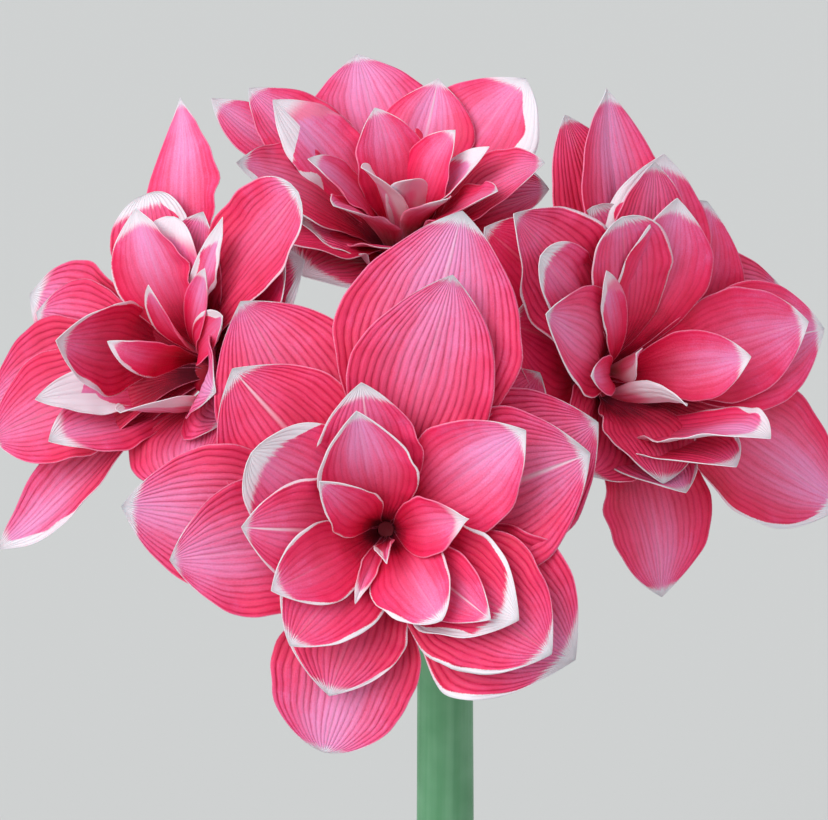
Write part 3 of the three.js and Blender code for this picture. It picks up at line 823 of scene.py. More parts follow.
def new_group(name: str, takes: dict[str, str],
              gives: dict[str, str]) -> tuple[Nodes, bpy.types.Node, bpy.types.Node]:
    """Start a shader node group with named sockets.

    Args:
        name: The group's name.
        takes: Input names and socket types.
        gives: Output names and socket types.

    Returns:
        The group's nodes, its input node and its output node.
    """
    tree = bpy.data.node_groups.new(name, "ShaderNodeTree")
    for socket, kind in takes.items():
        tree.interface.new_socket(socket, in_out="INPUT", socket_type=kind)
    for socket, kind in gives.items():
        tree.interface.new_socket(socket, in_out="OUTPUT", socket_type=kind)
    nodes = Nodes(tree)
    return nodes, nodes.add("NodeGroupInput"), nodes.add("NodeGroupOutput")


NUMBER = "NodeSocketFloat"
VECTOR = "NodeSocketVector"


def vein_group() -> bpy.types.NodeTree:
    """Build the group that draws the long veins of a petal or leaf.

    Returns:
        The group: Line is 1 on a vein, and Height is the relief between veins.
    """
    inputs = {"Vector": VECTOR, "Count": NUMBER, "Wander": NUMBER}
    nodes, takes, gives = new_group("long_veins", inputs, {"Line": NUMBER, "Height": NUMBER})
    split = nodes.add("ShaderNodeSeparateXYZ")
    nodes.feed(split.inputs[0], takes.outputs["Vector"])
    across, along = split.outputs[0], split.outputs[1]
    stretched = nodes.stretch(takes.outputs["Vector"], (6.0, 4.0, 1.0))
    drift = nodes.times_plus(nodes.noise(stretched, 1.0, 3.0), 2.0, -1.0)
    wander = nodes.times(drift, takes.outputs["Wander"])
    phase = nodes.plus(nodes.times(across, takes.outputs["Count"]), wander)
    wedge = nodes.times(nodes.math("PINGPONG", phase, 0.5), 2.0)
    between = nodes.math("PINGPONG", nodes.plus(phase, 0.25), 0.25)
    thin = nodes.times(nodes.ease(nodes.times(between, 4.0), 0.6, 1.0), 0.3)
    line = nodes.math("MAXIMUM", nodes.ease(wedge, 0.35, 1.0), thin)
    broken = nodes.noise(nodes.stretch(takes.outputs["Vector"], (46.0, 16.0, 1.0)), 1.0, 3.0, 0.6)
    strength = nodes.ease(broken, 0.3, 0.62, (0.12, 1.0))
    ends = nodes.times(nodes.ease(along, 0.02, 0.25), nodes.ease(along, 1.0, 0.8))
    strong = nodes.times(nodes.times(line, strength), ends)
    nodes.feed(gives.inputs["Line"], strong)
    nodes.feed(gives.inputs["Height"], nodes.minus(1.0, nodes.times(wedge, wedge)))
    return nodes.tree


def grain_group() -> bpy.types.NodeTree:
    """Build the group of fine grain that sits between the veins.

    Returns:
        The group: Mottle is broad variation and Grain is the fine cells, both about 0.5.
    """
    outputs = {"Mottle": NUMBER, "Grain": NUMBER}
    nodes, takes, gives = new_group("cell_grain", {"Vector": VECTOR, "Size": NUMBER}, outputs)
    scale = nodes.math("DIVIDE", 1.0, takes.outputs["Size"])
    fine = nodes.noise(takes.outputs["Vector"], scale, 3.0)
    broad = nodes.noise(takes.outputs["Vector"], nodes.times(scale, 0.06))
    nodes.feed(gives.inputs["Mottle"], broad)
    nodes.feed(gives.inputs["Grain"], fine)
    return nodes.tree


@dataclass(frozen=True)
class Groups:
    """The shader node groups that the finishes share."""

    veins: bpy.types.NodeTree
    grain: bpy.types.NodeTree


class Surface:
    """A material being made: its nodes, its Principled shader and the usual vectors."""

    def __init__(self, name: str) -> None:
        """Start a material.

        Args:
            name: The material's name.
        """
        self.material = bpy.data.materials.new(name)
        self.material.use_nodes = True
        self.nodes = Nodes(self.material.node_tree)
        self.shader = self.material.node_tree.nodes["Principled BSDF"]
        self.object = self.nodes.add("ShaderNodeTexCoord").outputs["Object"]
        self.uv = self.nodes.add("ShaderNodeUVMap", uv_map=UV_NAME).outputs["UV"]

    def set(self, **values: object) -> None:
        """Set or link inputs of the shader by name, with _ for a space."""
        for name, value in values.items():
            self.nodes.feed(self.shader.inputs[name.replace("_", " ")], value)

    def blade_places(self) -> tuple[bpy.types.NodeSocket, bpy.types.NodeSocket]:
        """Give how far out from the midrib a place is, and how far along the blade."""
        split = self.nodes.add("ShaderNodeSeparateXYZ")
        self.nodes.feed(split.inputs[0], self.uv)
        out = self.nodes.math("ABSOLUTE", self.nodes.times_plus(split.outputs[0], 2.0, -1.0))
        return out, split.outputs[1]

    def grain(self, groups: Groups, size: float) -> tuple[bpy.types.NodeSocket, bpy.types.NodeSocket]:
        """Give broad mottling and fine graining, with cells of a size in metres."""
        made = self.nodes.group(groups.grain, Vector=self.object, Size=size)
        return made.outputs["Mottle"], made.outputs["Grain"]

    def shine(self, graining: object, low: float, high: float) -> bpy.types.NodeSocket:
        """Give a roughness that the fine graining varies from low to high."""
        return self.nodes.ease(graining, 0.2, 0.8, (low, high))

    def flesh(self, weight: float, radius: Triple) -> None:
        """Let light a little way into a plant's tissue."""
        self.set(Subsurface_Weight=weight, Subsurface_Radius=radius, Subsurface_Scale=0.002)

    def bump(self, height: object, distance: float, strength: float = 1.0,
             below: object = None) -> bpy.types.NodeSocket:
        """Turn a height into a normal.

        Args:
            height: The height's socket.
            distance: How far 1 of height stands, in metres.
            strength: The bump's strength.
            below: A normal to add to, or None.

        Returns:
            The normal's socket.
        """
        made = self.nodes.add("ShaderNodeBump")
        self.nodes.feed(made.inputs["Height"], height)
        self.nodes.feed(made.inputs["Distance"], distance)
        self.nodes.feed(made.inputs["Strength"], strength)
        if below is not None:
            self.nodes.feed(made.inputs["Normal"], below)
        return made.outputs["Normal"]


@dataclass(frozen=True)
class PetalFinish:
    """The colours of one side of a petal, from throat to tip, in linear light: the petal's own colours, and
    on the face also painted shade near the throat and painted light on the outer half.

    Past the margin's own white, more_white millimetres are white too, and feather is how many
    millimetres the change takes.
    """

    name: str
    stops: tuple[tuple[float, Colour], ...]
    wash: Colour
    vein: Colour
    ridge: Colour
    hem: Colour
    white: Colour
    more_white: float
    feather: float
    vein_strength: float
    # How far a petal's tone, which is partly painted shade, moves it along the stops.
    tone_and_painted_shade_reach: float = 0.7
    mottled: float = 0.55
    streaked: float = 0.3
    speckled: float = 0.34

    def make(self, groups: Groups) -> bpy.types.Material:
        """Build the material.

        Args:
            groups: The shared node groups.

        Returns:
            The material.
        """
        surface = Surface(self.name)
        nodes = surface.nodes
        out, along = surface.blade_places()
        edge = nodes.add("ShaderNodeAttribute", attribute_name=EDGE_NAME)
        edges = nodes.add("ShaderNodeSeparateColor")
        nodes.feed(edges.inputs[0], edge.outputs["Color"])
        tone = nodes.add("ShaderNodeAttribute", attribute_name=TONE_NAME)
        tones = nodes.add("ShaderNodeSeparateColor")
        nodes.feed(tones.inputs[0], tone.outputs["Color"])
        aside, whiteness, midrib = edges.outputs
        below = edge.outputs["Alpha"]
        band, depth, count = tones.outputs
        veining = tone.outputs["Alpha"]

        mottling, graining = surface.grain(groups, 0.00055)
        veins = nodes.group(
            groups.veins, Vector=surface.uv, Count=nodes.times(count, VEIN_SCALE), Wander=0.45
        )
        mottle = nodes.minus(mottling, 0.5)
        speck = nodes.minus(graining, 0.5)
        streaks = nodes.noise(nodes.stretch(surface.uv, (26.0, 2.2, 1.0)), 1.0, 3.0)
        streak = nodes.minus(streaks, 0.5)

        # Painted shade and light: the place on the ramp rises from the throat to the tip, which on the
        # face's stops darkens the cup and pales the outer half, and each petal's tone, partly painted shade,
        # moves it too.
        shade = nodes.times_plus(nodes.minus(depth, 0.5), self.tone_and_painted_shade_reach, along)
        shade = nodes.times_plus(mottle, self.mottled, shade)
        shade = nodes.times_plus(streak, self.streaked, shade)
        shade = nodes.times_plus(speck, self.speckled, shade)
        base = nodes.ramp(shade, list(self.stops))

        wash = nodes.times_plus(nodes.times(streak, band), 1.6, band)
        wash = nodes.times_plus(nodes.times(speck, band), 0.9, wash, clamp=True)
        washed = nodes.mix(wash, base, self.wash)

        line = nodes.times(veins.outputs["Line"], veining)
        line = nodes.times(line, self.vein_strength, clamp=True)
        veined = nodes.mix(line, washed, nodes.mix(wash, self.vein, self.wash_vein()))
        lift = nodes.times(nodes.times(veins.outputs["Height"], veining), 0.16)
        veined = nodes.mix(lift, veined, self.ridge)

        inside = nodes.times(nodes.minus(aside, 0.5), CLEAR_SCALE)
        inside = nodes.minus(inside, nodes.times(whiteness, self.more_white))
        inside = nodes.times_plus(nodes.times(streak, whiteness), 1.2, inside)
        inside = nodes.times_plus(speck, 0.8, inside)
        pale = nodes.ease(inside, self.feather, -0.1)
        short = nodes.times(nodes.minus(below, 0.5), 2 * CLEAR_SCALE)
        short = nodes.times_plus(streak, 8.0, short)
        short = nodes.times_plus(speck, 2.5, short)
        pale = nodes.math("MAXIMUM", pale, nodes.ease(short, 2.4, -0.6))
        hem = nodes.mix(whiteness, self.hem, self.white)
        rib = nodes.times(nodes.ease(out, 0.055, 0.0), nodes.ease(along, 0.45, 0.95))
        rib = nodes.times(nodes.times(rib, midrib), 0.8)
        coloured = nodes.mix(rib, nodes.mix(pale, veined, hem), self.white)

        height = nodes.times(veins.outputs["Height"], veining)
        fine = surface.bump(graining, 0.0003, 0.7)
        normal = surface.bump(height, 0.0005, 0.8, fine)
        surface.set(Base_Color=coloured, Roughness=surface.shine(graining, 0.42, 0.62), Normal=normal)
        surface.flesh(0.15, (1.0, 0.3, 0.3))
        surface.set(Specular_IOR_Level=0.3)
        return surface.material

    def wash_vein(self) -> Colour:
        """Give the colour of a vein that crosses the pale wash."""
        return tuple(0.65 * pale + 0.35 * dark for pale, dark in zip(self.wash, self.vein))


WHITE: Colour = (0.86, 0.79, 0.86)
PETAL_FACE = PetalFinish(
    name="petal_face",
    # The stops run from the deep crimson near the throat, painted shade of the cup over the petal's own
    # deeper red, to the pink of the outer half, painted light over its paler colour.
    stops=(
        (0.0, (0.12, 0.0, 0.006)),
        (0.2, (0.42, 0.0005, 0.024)),
        (0.42, (0.73, 0.0025, 0.058)),
        (0.7, (0.87, 0.015, 0.112)),
        (0.88, (0.89, 0.06, 0.215)),
        (1.0, (0.90, 0.13, 0.34)),
    ),
    wash=(0.86, 0.32, 0.62),
    vein=(0.52, 0.002, 0.05),
    ridge=(0.92, 0.2, 0.38),
    hem=(0.90, 0.22, 0.38),
    white=WHITE,
    more_white=0.0,
    feather=0.45,
    vein_strength=1.0,
)
PETAL_BACK = PetalFinish(
    name="petal_back",
    stops=(
        (0.0, (0.34, 0.36, 0.16)),
        (0.2, (0.62, 0.20, 0.22)),
        (0.5, (0.74, 0.07, 0.17)),
        (0.8, (0.82, 0.15, 0.30)),
        (1.0, (0.86, 0.34, 0.52)),
    ),
    wash=(0.84, 0.42, 0.64),
    vein=(0.60, 0.04, 0.13),
    ridge=(0.86, 0.4, 0.55),
    hem=(0.86, 0.36, 0.52),
    white=(0.82, 0.76, 0.83),
    more_white=4.5,
    feather=3.5,
    vein_strength=0.6,
)


@dataclass(frozen=True)
class StemFinish:
    """A smooth skin with a pale waxy bloom and faint long ribs.

    Below foot_from metres up it turns to the foot's colour, which is full at foot_to.
    """

    name: str
    green: Colour
    pale: Colour
    foot: Colour
    foot_from: float
    foot_to: float

    def make(self, groups: Groups) -> bpy.types.Material:
        """Build the material.

        Args:
            groups: The shared node groups.

        Returns:
            The material.
        """
        surface = Surface(self.name)
        nodes = surface.nodes
        mottling, graining = surface.grain(groups, 0.0011)
        streaks = nodes.noise(nodes.stretch(surface.object, (260.0, 260.0, 7.0)), 1.0, 3.0)
        wax = nodes.plus(nodes.times(streaks, 0.6), nodes.times(mottling, 0.5))
        skin = nodes.mix(nodes.ease(wax, 0.35, 0.8), self.green, self.pale)
        split = nodes.add("ShaderNodeSeparateXYZ")
        nodes.feed(split.inputs[0], surface.object)
        skin = nodes.mix(nodes.ease(split.outputs[2], self.foot_from, self.foot_to), skin, self.foot)
        normal = surface.bump(streaks, 0.0003, 0.5, surface.bump(graining, 0.0001, 0.4))
        surface.set(Base_Color=skin, Roughness=surface.shine(graining, 0.38, 0.55), Normal=normal)
        surface.flesh(0.08, (0.4, 1.0, 0.3))
        surface.set(Specular_IOR_Level=0.3)
        return surface.material


SCAPE_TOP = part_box("scape")[1][2]
SCAPE_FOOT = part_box("scape")[0][2]
PALE_FOOT = 0.09
NO_FOOT = (-1.0, -2.0)
STEM = StemFinish(
    "scape_skin", (0.085, 0.27, 0.125), (0.16, 0.37, 0.21), (0.30, 0.36, 0.16),
    SCAPE_FOOT + PALE_FOOT, SCAPE_FOOT,
)
THROAT = StemFinish("throat_floor", (0.32, 0.001, 0.02), (0.48, 0.004, 0.035), (0.32, 0.001, 0.02), *NO_FOOT)
STALK = StemFinish("stalk_skin", (0.09, 0.24, 0.08), (0.19, 0.35, 0.17), (0.19, 0.35, 0.17), *NO_FOOT)


@dataclass(frozen=True)
class LeafFinish:
    """A strap leaf: long veins, a paler channel and a soft shine."""

    name: str
    deep: Colour
    fresh: Colour
    foot: Colour
    rough: float

    def make(self, groups: Groups) -> bpy.types.Material:
        """Build the material.

        Args:
            groups: The shared node groups.

        Returns:
            The material.
        """
        surface = Surface(self.name)
        nodes = surface.nodes
        out, along = surface.blade_places()
        veins = nodes.group(groups.veins, Vector=surface.uv, Count=16.0, Wander=0.15)
        _, graining = surface.grain(groups, 0.0008)
        streaks = nodes.noise(nodes.stretch(surface.uv, (30.0, 2.0, 1.0)), 1.0, 3.0)
        green = nodes.mix(nodes.ease(streaks, 0.3, 0.7), self.deep, self.fresh)
        green = nodes.mix(nodes.times(nodes.ease(out, 0.16, 0.0), 0.35), green, self.foot)
        green = nodes.mix(nodes.times(nodes.ease(along, 0.35, 0.0), 0.8), green, self.foot)
        green = nodes.mix(nodes.times(veins.outputs["Line"], 0.4), green, self.deep)
        normal = surface.bump(veins.outputs["Height"], 0.0004, 0.7, surface.bump(graining, 0.00012, 0.4))
        rough = surface.shine(graining, self.rough, self.rough + 0.18)
        surface.set(Base_Color=green, Roughness=rough, Normal=normal)
        surface.flesh(0.06, (0.4, 1.0, 0.2))
        return surface.material


LEAF_SKIN = LeafFinish("leaf_skin", (0.035, 0.14, 0.03), (0.075, 0.24, 0.05), (0.28, 0.40, 0.14), 0.34)
BRACT_SKIN = LeafFinish("bract_paper", (0.30, 0.19, 0.10), (0.55, 0.42, 0.26), (0.40, 0.30, 0.20), 0.6)


@dataclass(frozen=True)
class TunicFinish:
    """The dry papery skin of a bulb: long fibres, darker patches and pale worn streaks."""

    name: str
    dark: Colour
    brown: Colour
    pale: Colour

    def make(self, groups: Groups) -> bpy.types.Material:
        """Build the material.

        Args:
            groups: The shared node groups.

        Returns:
            The material.
        """
        surface = Surface(self.name)
        nodes = surface.nodes
        _, graining = surface.grain(groups, 0.0014)
        fibres = nodes.noise(nodes.stretch(surface.uv, (120.0, 5.0, 1.0)), 1.0, 4.0, 0.6)
        patches = nodes.noise(nodes.stretch(surface.uv, (9.0, 3.0, 1.0)), 1.0, 3.0)
        skin = nodes.ramp(patches, [(0.3, self.dark), (0.52, self.brown), (0.72, self.pale)])
        skin = nodes.mix(nodes.times(nodes.ease(fibres, 0.52, 0.7), 0.55), skin, self.pale)
        skin = nodes.mix(nodes.times(nodes.ease(fibres, 0.46, 0.3), 0.6), skin, self.dark)
        normal = surface.bump(fibres, 0.0009, 0.7, surface.bump(graining, 0.0003, 0.5))
        surface.set(Base_Color=skin, Roughness=nodes.ease(fibres, 0.3, 0.7, (0.45, 0.75)), Normal=normal)
        return surface.material


TUNIC = TunicFinish("bulb_tunic", (0.12, 0.045, 0.02), (0.32, 0.15, 0.065), (0.55, 0.34, 0.18))


@dataclass(frozen=True)
class ClayFinish:
    """Fired clay: turning marks, fine grit and paler lime blooms."""

    name: str
    clay: Colour
    dark: Colour
    lime: Colour

    def make(self, groups: Groups) -> bpy.types.Material:
        """Build the material.

        Args:
            groups: The shared node groups.

        Returns:
            The material.
        """
        surface = Surface(self.name)
        nodes = surface.nodes
        _, graining = surface.grain(groups, 0.0009)
        marks = nodes.noise(nodes.stretch(surface.object, (3.0, 3.0, 420.0)), 1.0, 2.0)
        clouds = nodes.noise(surface.object, 22.0, 5.0, 0.6)
        body = nodes.mix(nodes.ease(clouds, 0.35, 0.65), self.dark, self.clay)
        body = nodes.mix(nodes.times(nodes.ease(marks, 0.4, 0.7), 0.2), body, self.dark)
        lime = nodes.noise(surface.object, 9.0, 6.0, 0.65)
        body = nodes.mix(nodes.times(nodes.ease(lime, 0.52, 0.72), 0.45), body, self.lime)
        body = nodes.mix(nodes.times(nodes.ease(graining, 0.62, 0.75), 0.35), body, self.dark)
        normal = surface.bump(marks, 0.0006, 0.5, surface.bump(graining, 0.0003, 0.7))
        surface.set(Base_Color=body, Roughness=nodes.ease(lime, 0.4, 0.7, (0.75, 0.95)), Normal=normal)
        return surface.material


CLAY = ClayFinish("fired_clay", (0.50, 0.215, 0.115), (0.36, 0.135, 0.07), (0.62, 0.46, 0.36))


@dataclass(frozen=True)
class SoilFinish:
    """Moist peat mix: near black with brown fibres and pale crumbs."""

    name: str
    wet: Colour
    peat: Colour
    crumb: Colour

    def make(self, groups: Groups) -> bpy.types.Material:
        """Build the material.

        Args:
            groups: The shared node groups.

        Returns:
            The material.
        """
        surface = Surface(self.name)
        nodes = surface.nodes
        _, graining = surface.grain(groups, 0.0022)
        cells = nodes.noise(surface.object, 320.0, 6.0, 0.7)
        body = nodes.mix(nodes.ease(graining, 0.35, 0.7), self.wet, self.peat)
        body = nodes.mix(nodes.ease(cells, 0.66, 0.74), body, self.crumb)
        normal = surface.bump(cells, 0.002, 0.9, surface.bump(graining, 0.0015, 0.8))
        surface.set(Base_Color=body, Roughness=nodes.ease(cells, 0.3, 0.7, (0.7, 1.0)), Normal=normal)
        return surface.material


SOIL = SoilFinish("peat_mix", (0.018, 0.011, 0.007), (0.075, 0.042, 0.024), (0.20, 0.125, 0.075))
GRIT = SoilFinish("white_grit", (0.45, 0.44, 0.41), (0.62, 0.61, 0.58), (0.72, 0.71, 0.68))


@dataclass
class Bloom:
    """A double bloom: its place, the way it faces and its petals.

    The throat is millimetres from the umbel's middle. Azimuth is degrees clockwise from -Y seen from
    above, and elevation is degrees up.
    """

    name: str
    throat: Triple
    azimuth: float
    elevation: float
    petals: dict[Whorl, list[Row]]
    whorls: dict[Whorl, dict[str, object]] = field(default_factory=dict)
    tube: tuple[tuple[float, float], ...] = (
        (0.0, -20.0), (6.0, -20.0), (7.4, -18.6), (10.0, -15.0), (12.0, -11.0), (12.6, -9.5),
        (11.0, -9.3), (0.0, -9.8),
    )
    throat_floor: tuple[tuple[float, float], ...] = (
        (0.0, -9.1), (6.0, -9.1), (11.8, -8.4), (11.4, -5.6), (9.0, -5.8), (5.0, -7.0), (0.0, -8.0),
    )
    tube_sides: int = 40
    parts: tuple[tuple[str, tuple[Whorl, ...]], ...] = (
        ("tepals", (Whorl.OUTER, Whorl.SECOND)),
        ("petals", (Whorl.THIRD, Whorl.INNER, Whorl.SLIVER)),
    )

    def facing(self) -> tuple[Vector, Vector, Vector]:
        """Give the bloom's right, its up and the way it faces."""
        azimuth, elevation = math.radians(self.azimuth), math.radians(self.elevation)
        flat = math.cos(elevation)
        out = Vector((math.sin(azimuth) * flat, -math.cos(azimuth) * flat, math.sin(elevation)))
        right = Vector((math.cos(azimuth), math.sin(azimuth), 0.0))
        return right, out.cross(right), out

    def to_row(self) -> Matrix:
        """Give the way from the bloom's own millimetres to the row's metres."""
        right, up, out = self.facing()
        turned = Matrix((right, up, out)).transposed().to_4x4()
        return SCALE_TO_ROW @ Matrix.Translation(UMBEL + Vector(self.throat)) @ turned

    def blades(self, whorl: Whorl) -> list[Blade]:
        """Shape a whorl's petals, each forward or back of its neighbours in turn.

        Args:
            whorl: The whorl.

        Returns:
            Its blades.
        """
        form = replace(WHORLS[whorl], **self.whorls.get(whorl, {}))
        rows = self.petals.get(whorl, [])
        order = sorted(rows, key=lambda row: row.turn)
        made = []
        for row in rows:
            own = replace(form, **row.changes)
            side = -1.0 if order.index(row) % 2 == 0 else 1.0
            own = replace(own, rise=own.rise + side * form.stagger)
            made.append(Blade(row.turn, row.reach, row.width, own))
        return made

    def build(self, face: bpy.types.Material, back: bpy.types.Material, tube: bpy.types.Material,
              throat: bpy.types.Material) -> None:
        """Build and dress the bloom's pieces.

        Args:
            face: The petals' inner face.
            back: The petals' outer face.
            tube: The green tube behind the petals.
            throat: The deep middle that the petals stand round.
        """
        node = "bloom_" + self.name
        to_row = self.to_row()
        seed = sum(ord(letter) for letter in self.name)
        for part, whorls in self.parts:
            mesh = PieceMesh()
            for whorl in whorls:
                for number, blade in enumerate(self.blades(whorl)):
                    mesh.blade(blade, seed * 1000 + len(whorl.value) * 100 + number, to_row)
            made = mesh.piece(f"{part}_{self.name}", "petal", [face, back])
            thicken(made, PETAL_THICKNESS, PETAL_MARGIN, 1)
            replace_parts(made, node)
        for part, profile, finish in (("tube_", self.tube, tube), ("throat_", self.throat_floor, throat)):
            mesh = PieceMesh()
            mesh.spun(list(profile), self.tube_sides, to_row)
            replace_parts(mesh.piece(part + self.name, "petal", [finish]), node)


BLOOMS = (
    Bloom("front", (-24, -87, 4), -4, 12, FRONT),
    Bloom("left", (-97, -23, 53), -42, 16, LEFT),
    Bloom("right", (64, -30, 50), 38, 16, RIGHT),
    Bloom("back", (-17, 30, 90), 0, 62, BACK, BACK_WHORLS),
)


STALK_SIDES = {"front": -90.0, "left": 180.0, "right": 0.0, "back": 90.0}


@dataclass
class Stalk:
    """A flower stalk: a round green stem that ends in a three-sided ovary behind its bloom."""

    bloom: Bloom
    side: float
    radius: float = 4.0
    spread: float = 6.4
    arch: float = 0.45
    ovary_length: float = 24.0
    seat_back: float = 20.3
    seat_radius: float = 6.0
    gap: float = 0.3
    sides: int = 28
    rows: int = 72
    end: float = 0.02
    lobes: float = 0.09

    def path(self) -> list[Vector]:
        """Give the stalk's middle line from the scape to the bloom's seat, in even steps."""
        out = self.bloom.facing()[2]
        seat = Vector(self.bloom.throat) - out * self.seat_back
        ovary_foot = seat - out * self.ovary_length
        angle = math.radians(self.side)
        foot = Vector((math.cos(angle), math.sin(angle), 0.0)) * self.spread
        foot.z = self.gap - UMBEL_ABOVE_SCAPE
        reach = self.arch * (ovary_foot - foot).length
        bend = geometry.interpolate_bezier(foot, foot + UP * reach, ovary_foot - out * reach, ovary_foot, 60)
        return [UMBEL + point for point in bend] + [UMBEL + seat]

    def girth(self, past: float) -> float:
        """Give the radius at a distance past the ovary's foot, which is negative on the stalk."""
        share = past / self.ovary_length
        if share < 0.0:
            return self.radius * (1.0 + 0.12 * smoothstep(-0.5, 0.0, share))
        swell = math.sin(math.pi * min(share / 0.84, 1.0)) ** 0.8 if share < 0.84 else 0.0
        return self.radius + (self.seat_radius - self.radius) * smoothstep(0.1, 1.0, share) + 1.9 * swell

    def build(self, skin: bpy.types.Material) -> None:
        """Build and dress the stalk.

        Args:
            skin: The green skin.
        """
        points = self.path()
        lengths = [0.0]
        for near, far in zip(points, points[1:]):
            lengths.append(lengths[-1] + (far - near).length)
        whole = lengths[-1]
        ovary_from = lengths[-2]

        def place(x: float, y: float) -> Vector:
            """Find a point of the skin, with both ends closed."""
            share = min(max((y - self.end) / (1.0 - 2 * self.end), 0.0), 1.0)
            wanted = share * whole
            piece = 0
            while piece < len(points) - 2 and lengths[piece + 1] < wanted:
                piece += 1
            step = (wanted - lengths[piece]) / max(lengths[piece + 1] - lengths[piece], 1e-9)
            middle = points[piece].lerp(points[piece + 1], step)
            along = (points[piece + 1] - points[piece]).normalized()
            across = along.cross(Vector((0.31, 0.17, 0.03))).normalized()
            angle = 2 * math.pi * x
            past = wanted - ovary_from
            lobes = self.lobes * smoothstep(0.0, 8.0, past) * smoothstep(self.ovary_length, 16.0, past)
            radius = self.girth(past) * (1.0 + lobes * math.cos(3 * angle))
            if y < self.end or y > 1.0 - self.end:
                radius *= smoothstep(0.0, self.end, min(y, 1.0 - y))
            return middle + (across * math.cos(angle) + along.cross(across) * math.sin(angle)) * radius

        mesh = PieceMesh()
        mesh.settle(mesh.sheet(self.sides, self.rows, place))
        name = "stalk_" + self.bloom.name
        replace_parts(mesh.piece("flower_" + name, "stem", [skin]), name)


@dataclass
class Scape:
    """The thick stem: nearly round, faintly ribbed and a little narrower at the top."""

    foot: float = SCAPE_FOOT / MM
    top: float = SCAPE_TOP / MM
    foot_radius: float = 13.5
    top_radius: float = 11.2
    sides: int = 56
    rows: int = 90
    end: float = 0.04
    ribs: int = 18
    rib_height: float = 0.06

    def place(self, x: float, y: float) -> Vector:
        """Find a point of the skin, from the middle of the foot over the side to the middle of the top."""
        angle = 2 * math.pi * x
        even = min(max((y - self.end) / (1.0 - 2 * self.end), 0.0), 1.0)
        share = smoothstep(0.0, 1.0, even) * 0.25
        share += even * 0.75
        radius = self.foot_radius + (self.top_radius - self.foot_radius) * share
        height = self.foot + (self.top - self.foot) * share
        swirl = Vector((math.cos(angle) * 1.4, math.sin(angle) * 1.4, height * 0.012))
        radius += 0.28 * noise.noise(swirl) - 0.28 + self.rib_height * math.cos(self.ribs * angle)
        edge = min(y, 1.0 - y)
        if edge < self.end:
            radius *= smoothstep(0.0, self.end, edge) if y > 0.5 else edge / self.end
        return Vector((radius * math.cos(angle), radius * math.sin(angle), height))

    def build(self, skin: bpy.types.Material) -> None:
        """Build and dress the scape.

        Args:
            skin: The green skin.
        """
        mesh = PieceMesh()
        mesh.settle(mesh.sheet(self.sides, self.rows, self.place))
        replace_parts(mesh.piece("flower_scape", "stem", [skin]), "scape")


@dataclass
class StrapLeaf:
    """A young leaf on the bulb's neck, or a dry bract under the umbel."""

    node: str
    piece: str
    slot: str
    side: float
    reach: float
    width: float
    height: float
    thickness: float
    form: Form

    def build(self, skin: bpy.types.Material) -> None:
        """Build and dress the leaf.

        Args:
            skin: The leaf's skin.
        """
        mesh = PieceMesh()
        to_row = SCALE_TO_ROW @ Matrix.Translation((0.0, 0.0, self.height))
        seed = sum(ord(letter) for letter in self.node)
        mesh.blade(Blade(90.0 - self.side, self.reach, self.width, self.form), seed, to_row)
        made = mesh.piece(self.piece, self.slot, [skin])
        thicken(made, self.thickness, LEAF_MARGIN, 0)
        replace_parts(made, self.node)


NECK_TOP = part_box("bulb")[1][2] / MM
LEAF_FORM = Form(
    16, 0, 2, 62, 138, (54, 22, 10), widest=0.55, swell=1.15, point=0.6, root=0.78, ruffle=0.8, pleat=0.2,
    columns=24, rows=60,
)
BRACT_FORM = Form(
    12.2, 5, 120, 172, -58, (40, 30, 20), widest=0.4, root=0.5, ruffle=1.6, pleat=0.6, columns=16, rows=40
)
LEAF_FOOT = NECK_TOP + 0.3
LEAVES = (
    StrapLeaf("leaf_left", "strap_leaf_left", "leaf", 205, 92, 34, LEAF_FOOT, LEAF_THICKNESS, LEAF_FORM),
    StrapLeaf("leaf_right", "strap_leaf_right", "leaf", -30, 118, 36, LEAF_FOOT, LEAF_THICKNESS,
              replace(LEAF_FORM, rise=112)),
    StrapLeaf("leaf_back", "strap_leaf_back", "leaf", 85, 70, 32, LEAF_FOOT, LEAF_THICKNESS,
              replace(LEAF_FORM, rise=168)),
)
BRACT_TOP = SCAPE_TOP / MM
BRACTS = (
    StrapLeaf("bract_left", "dry_bract_left", "bract", 150, 27, 20, BRACT_TOP, BRACT_THICKNESS, BRACT_FORM),
    StrapLeaf("bract_right", "dry_bract_right", "bract", 20, 25, 18, BRACT_TOP, BRACT_THICKNESS,
              replace(BRACT_FORM, rise=-52)),
)


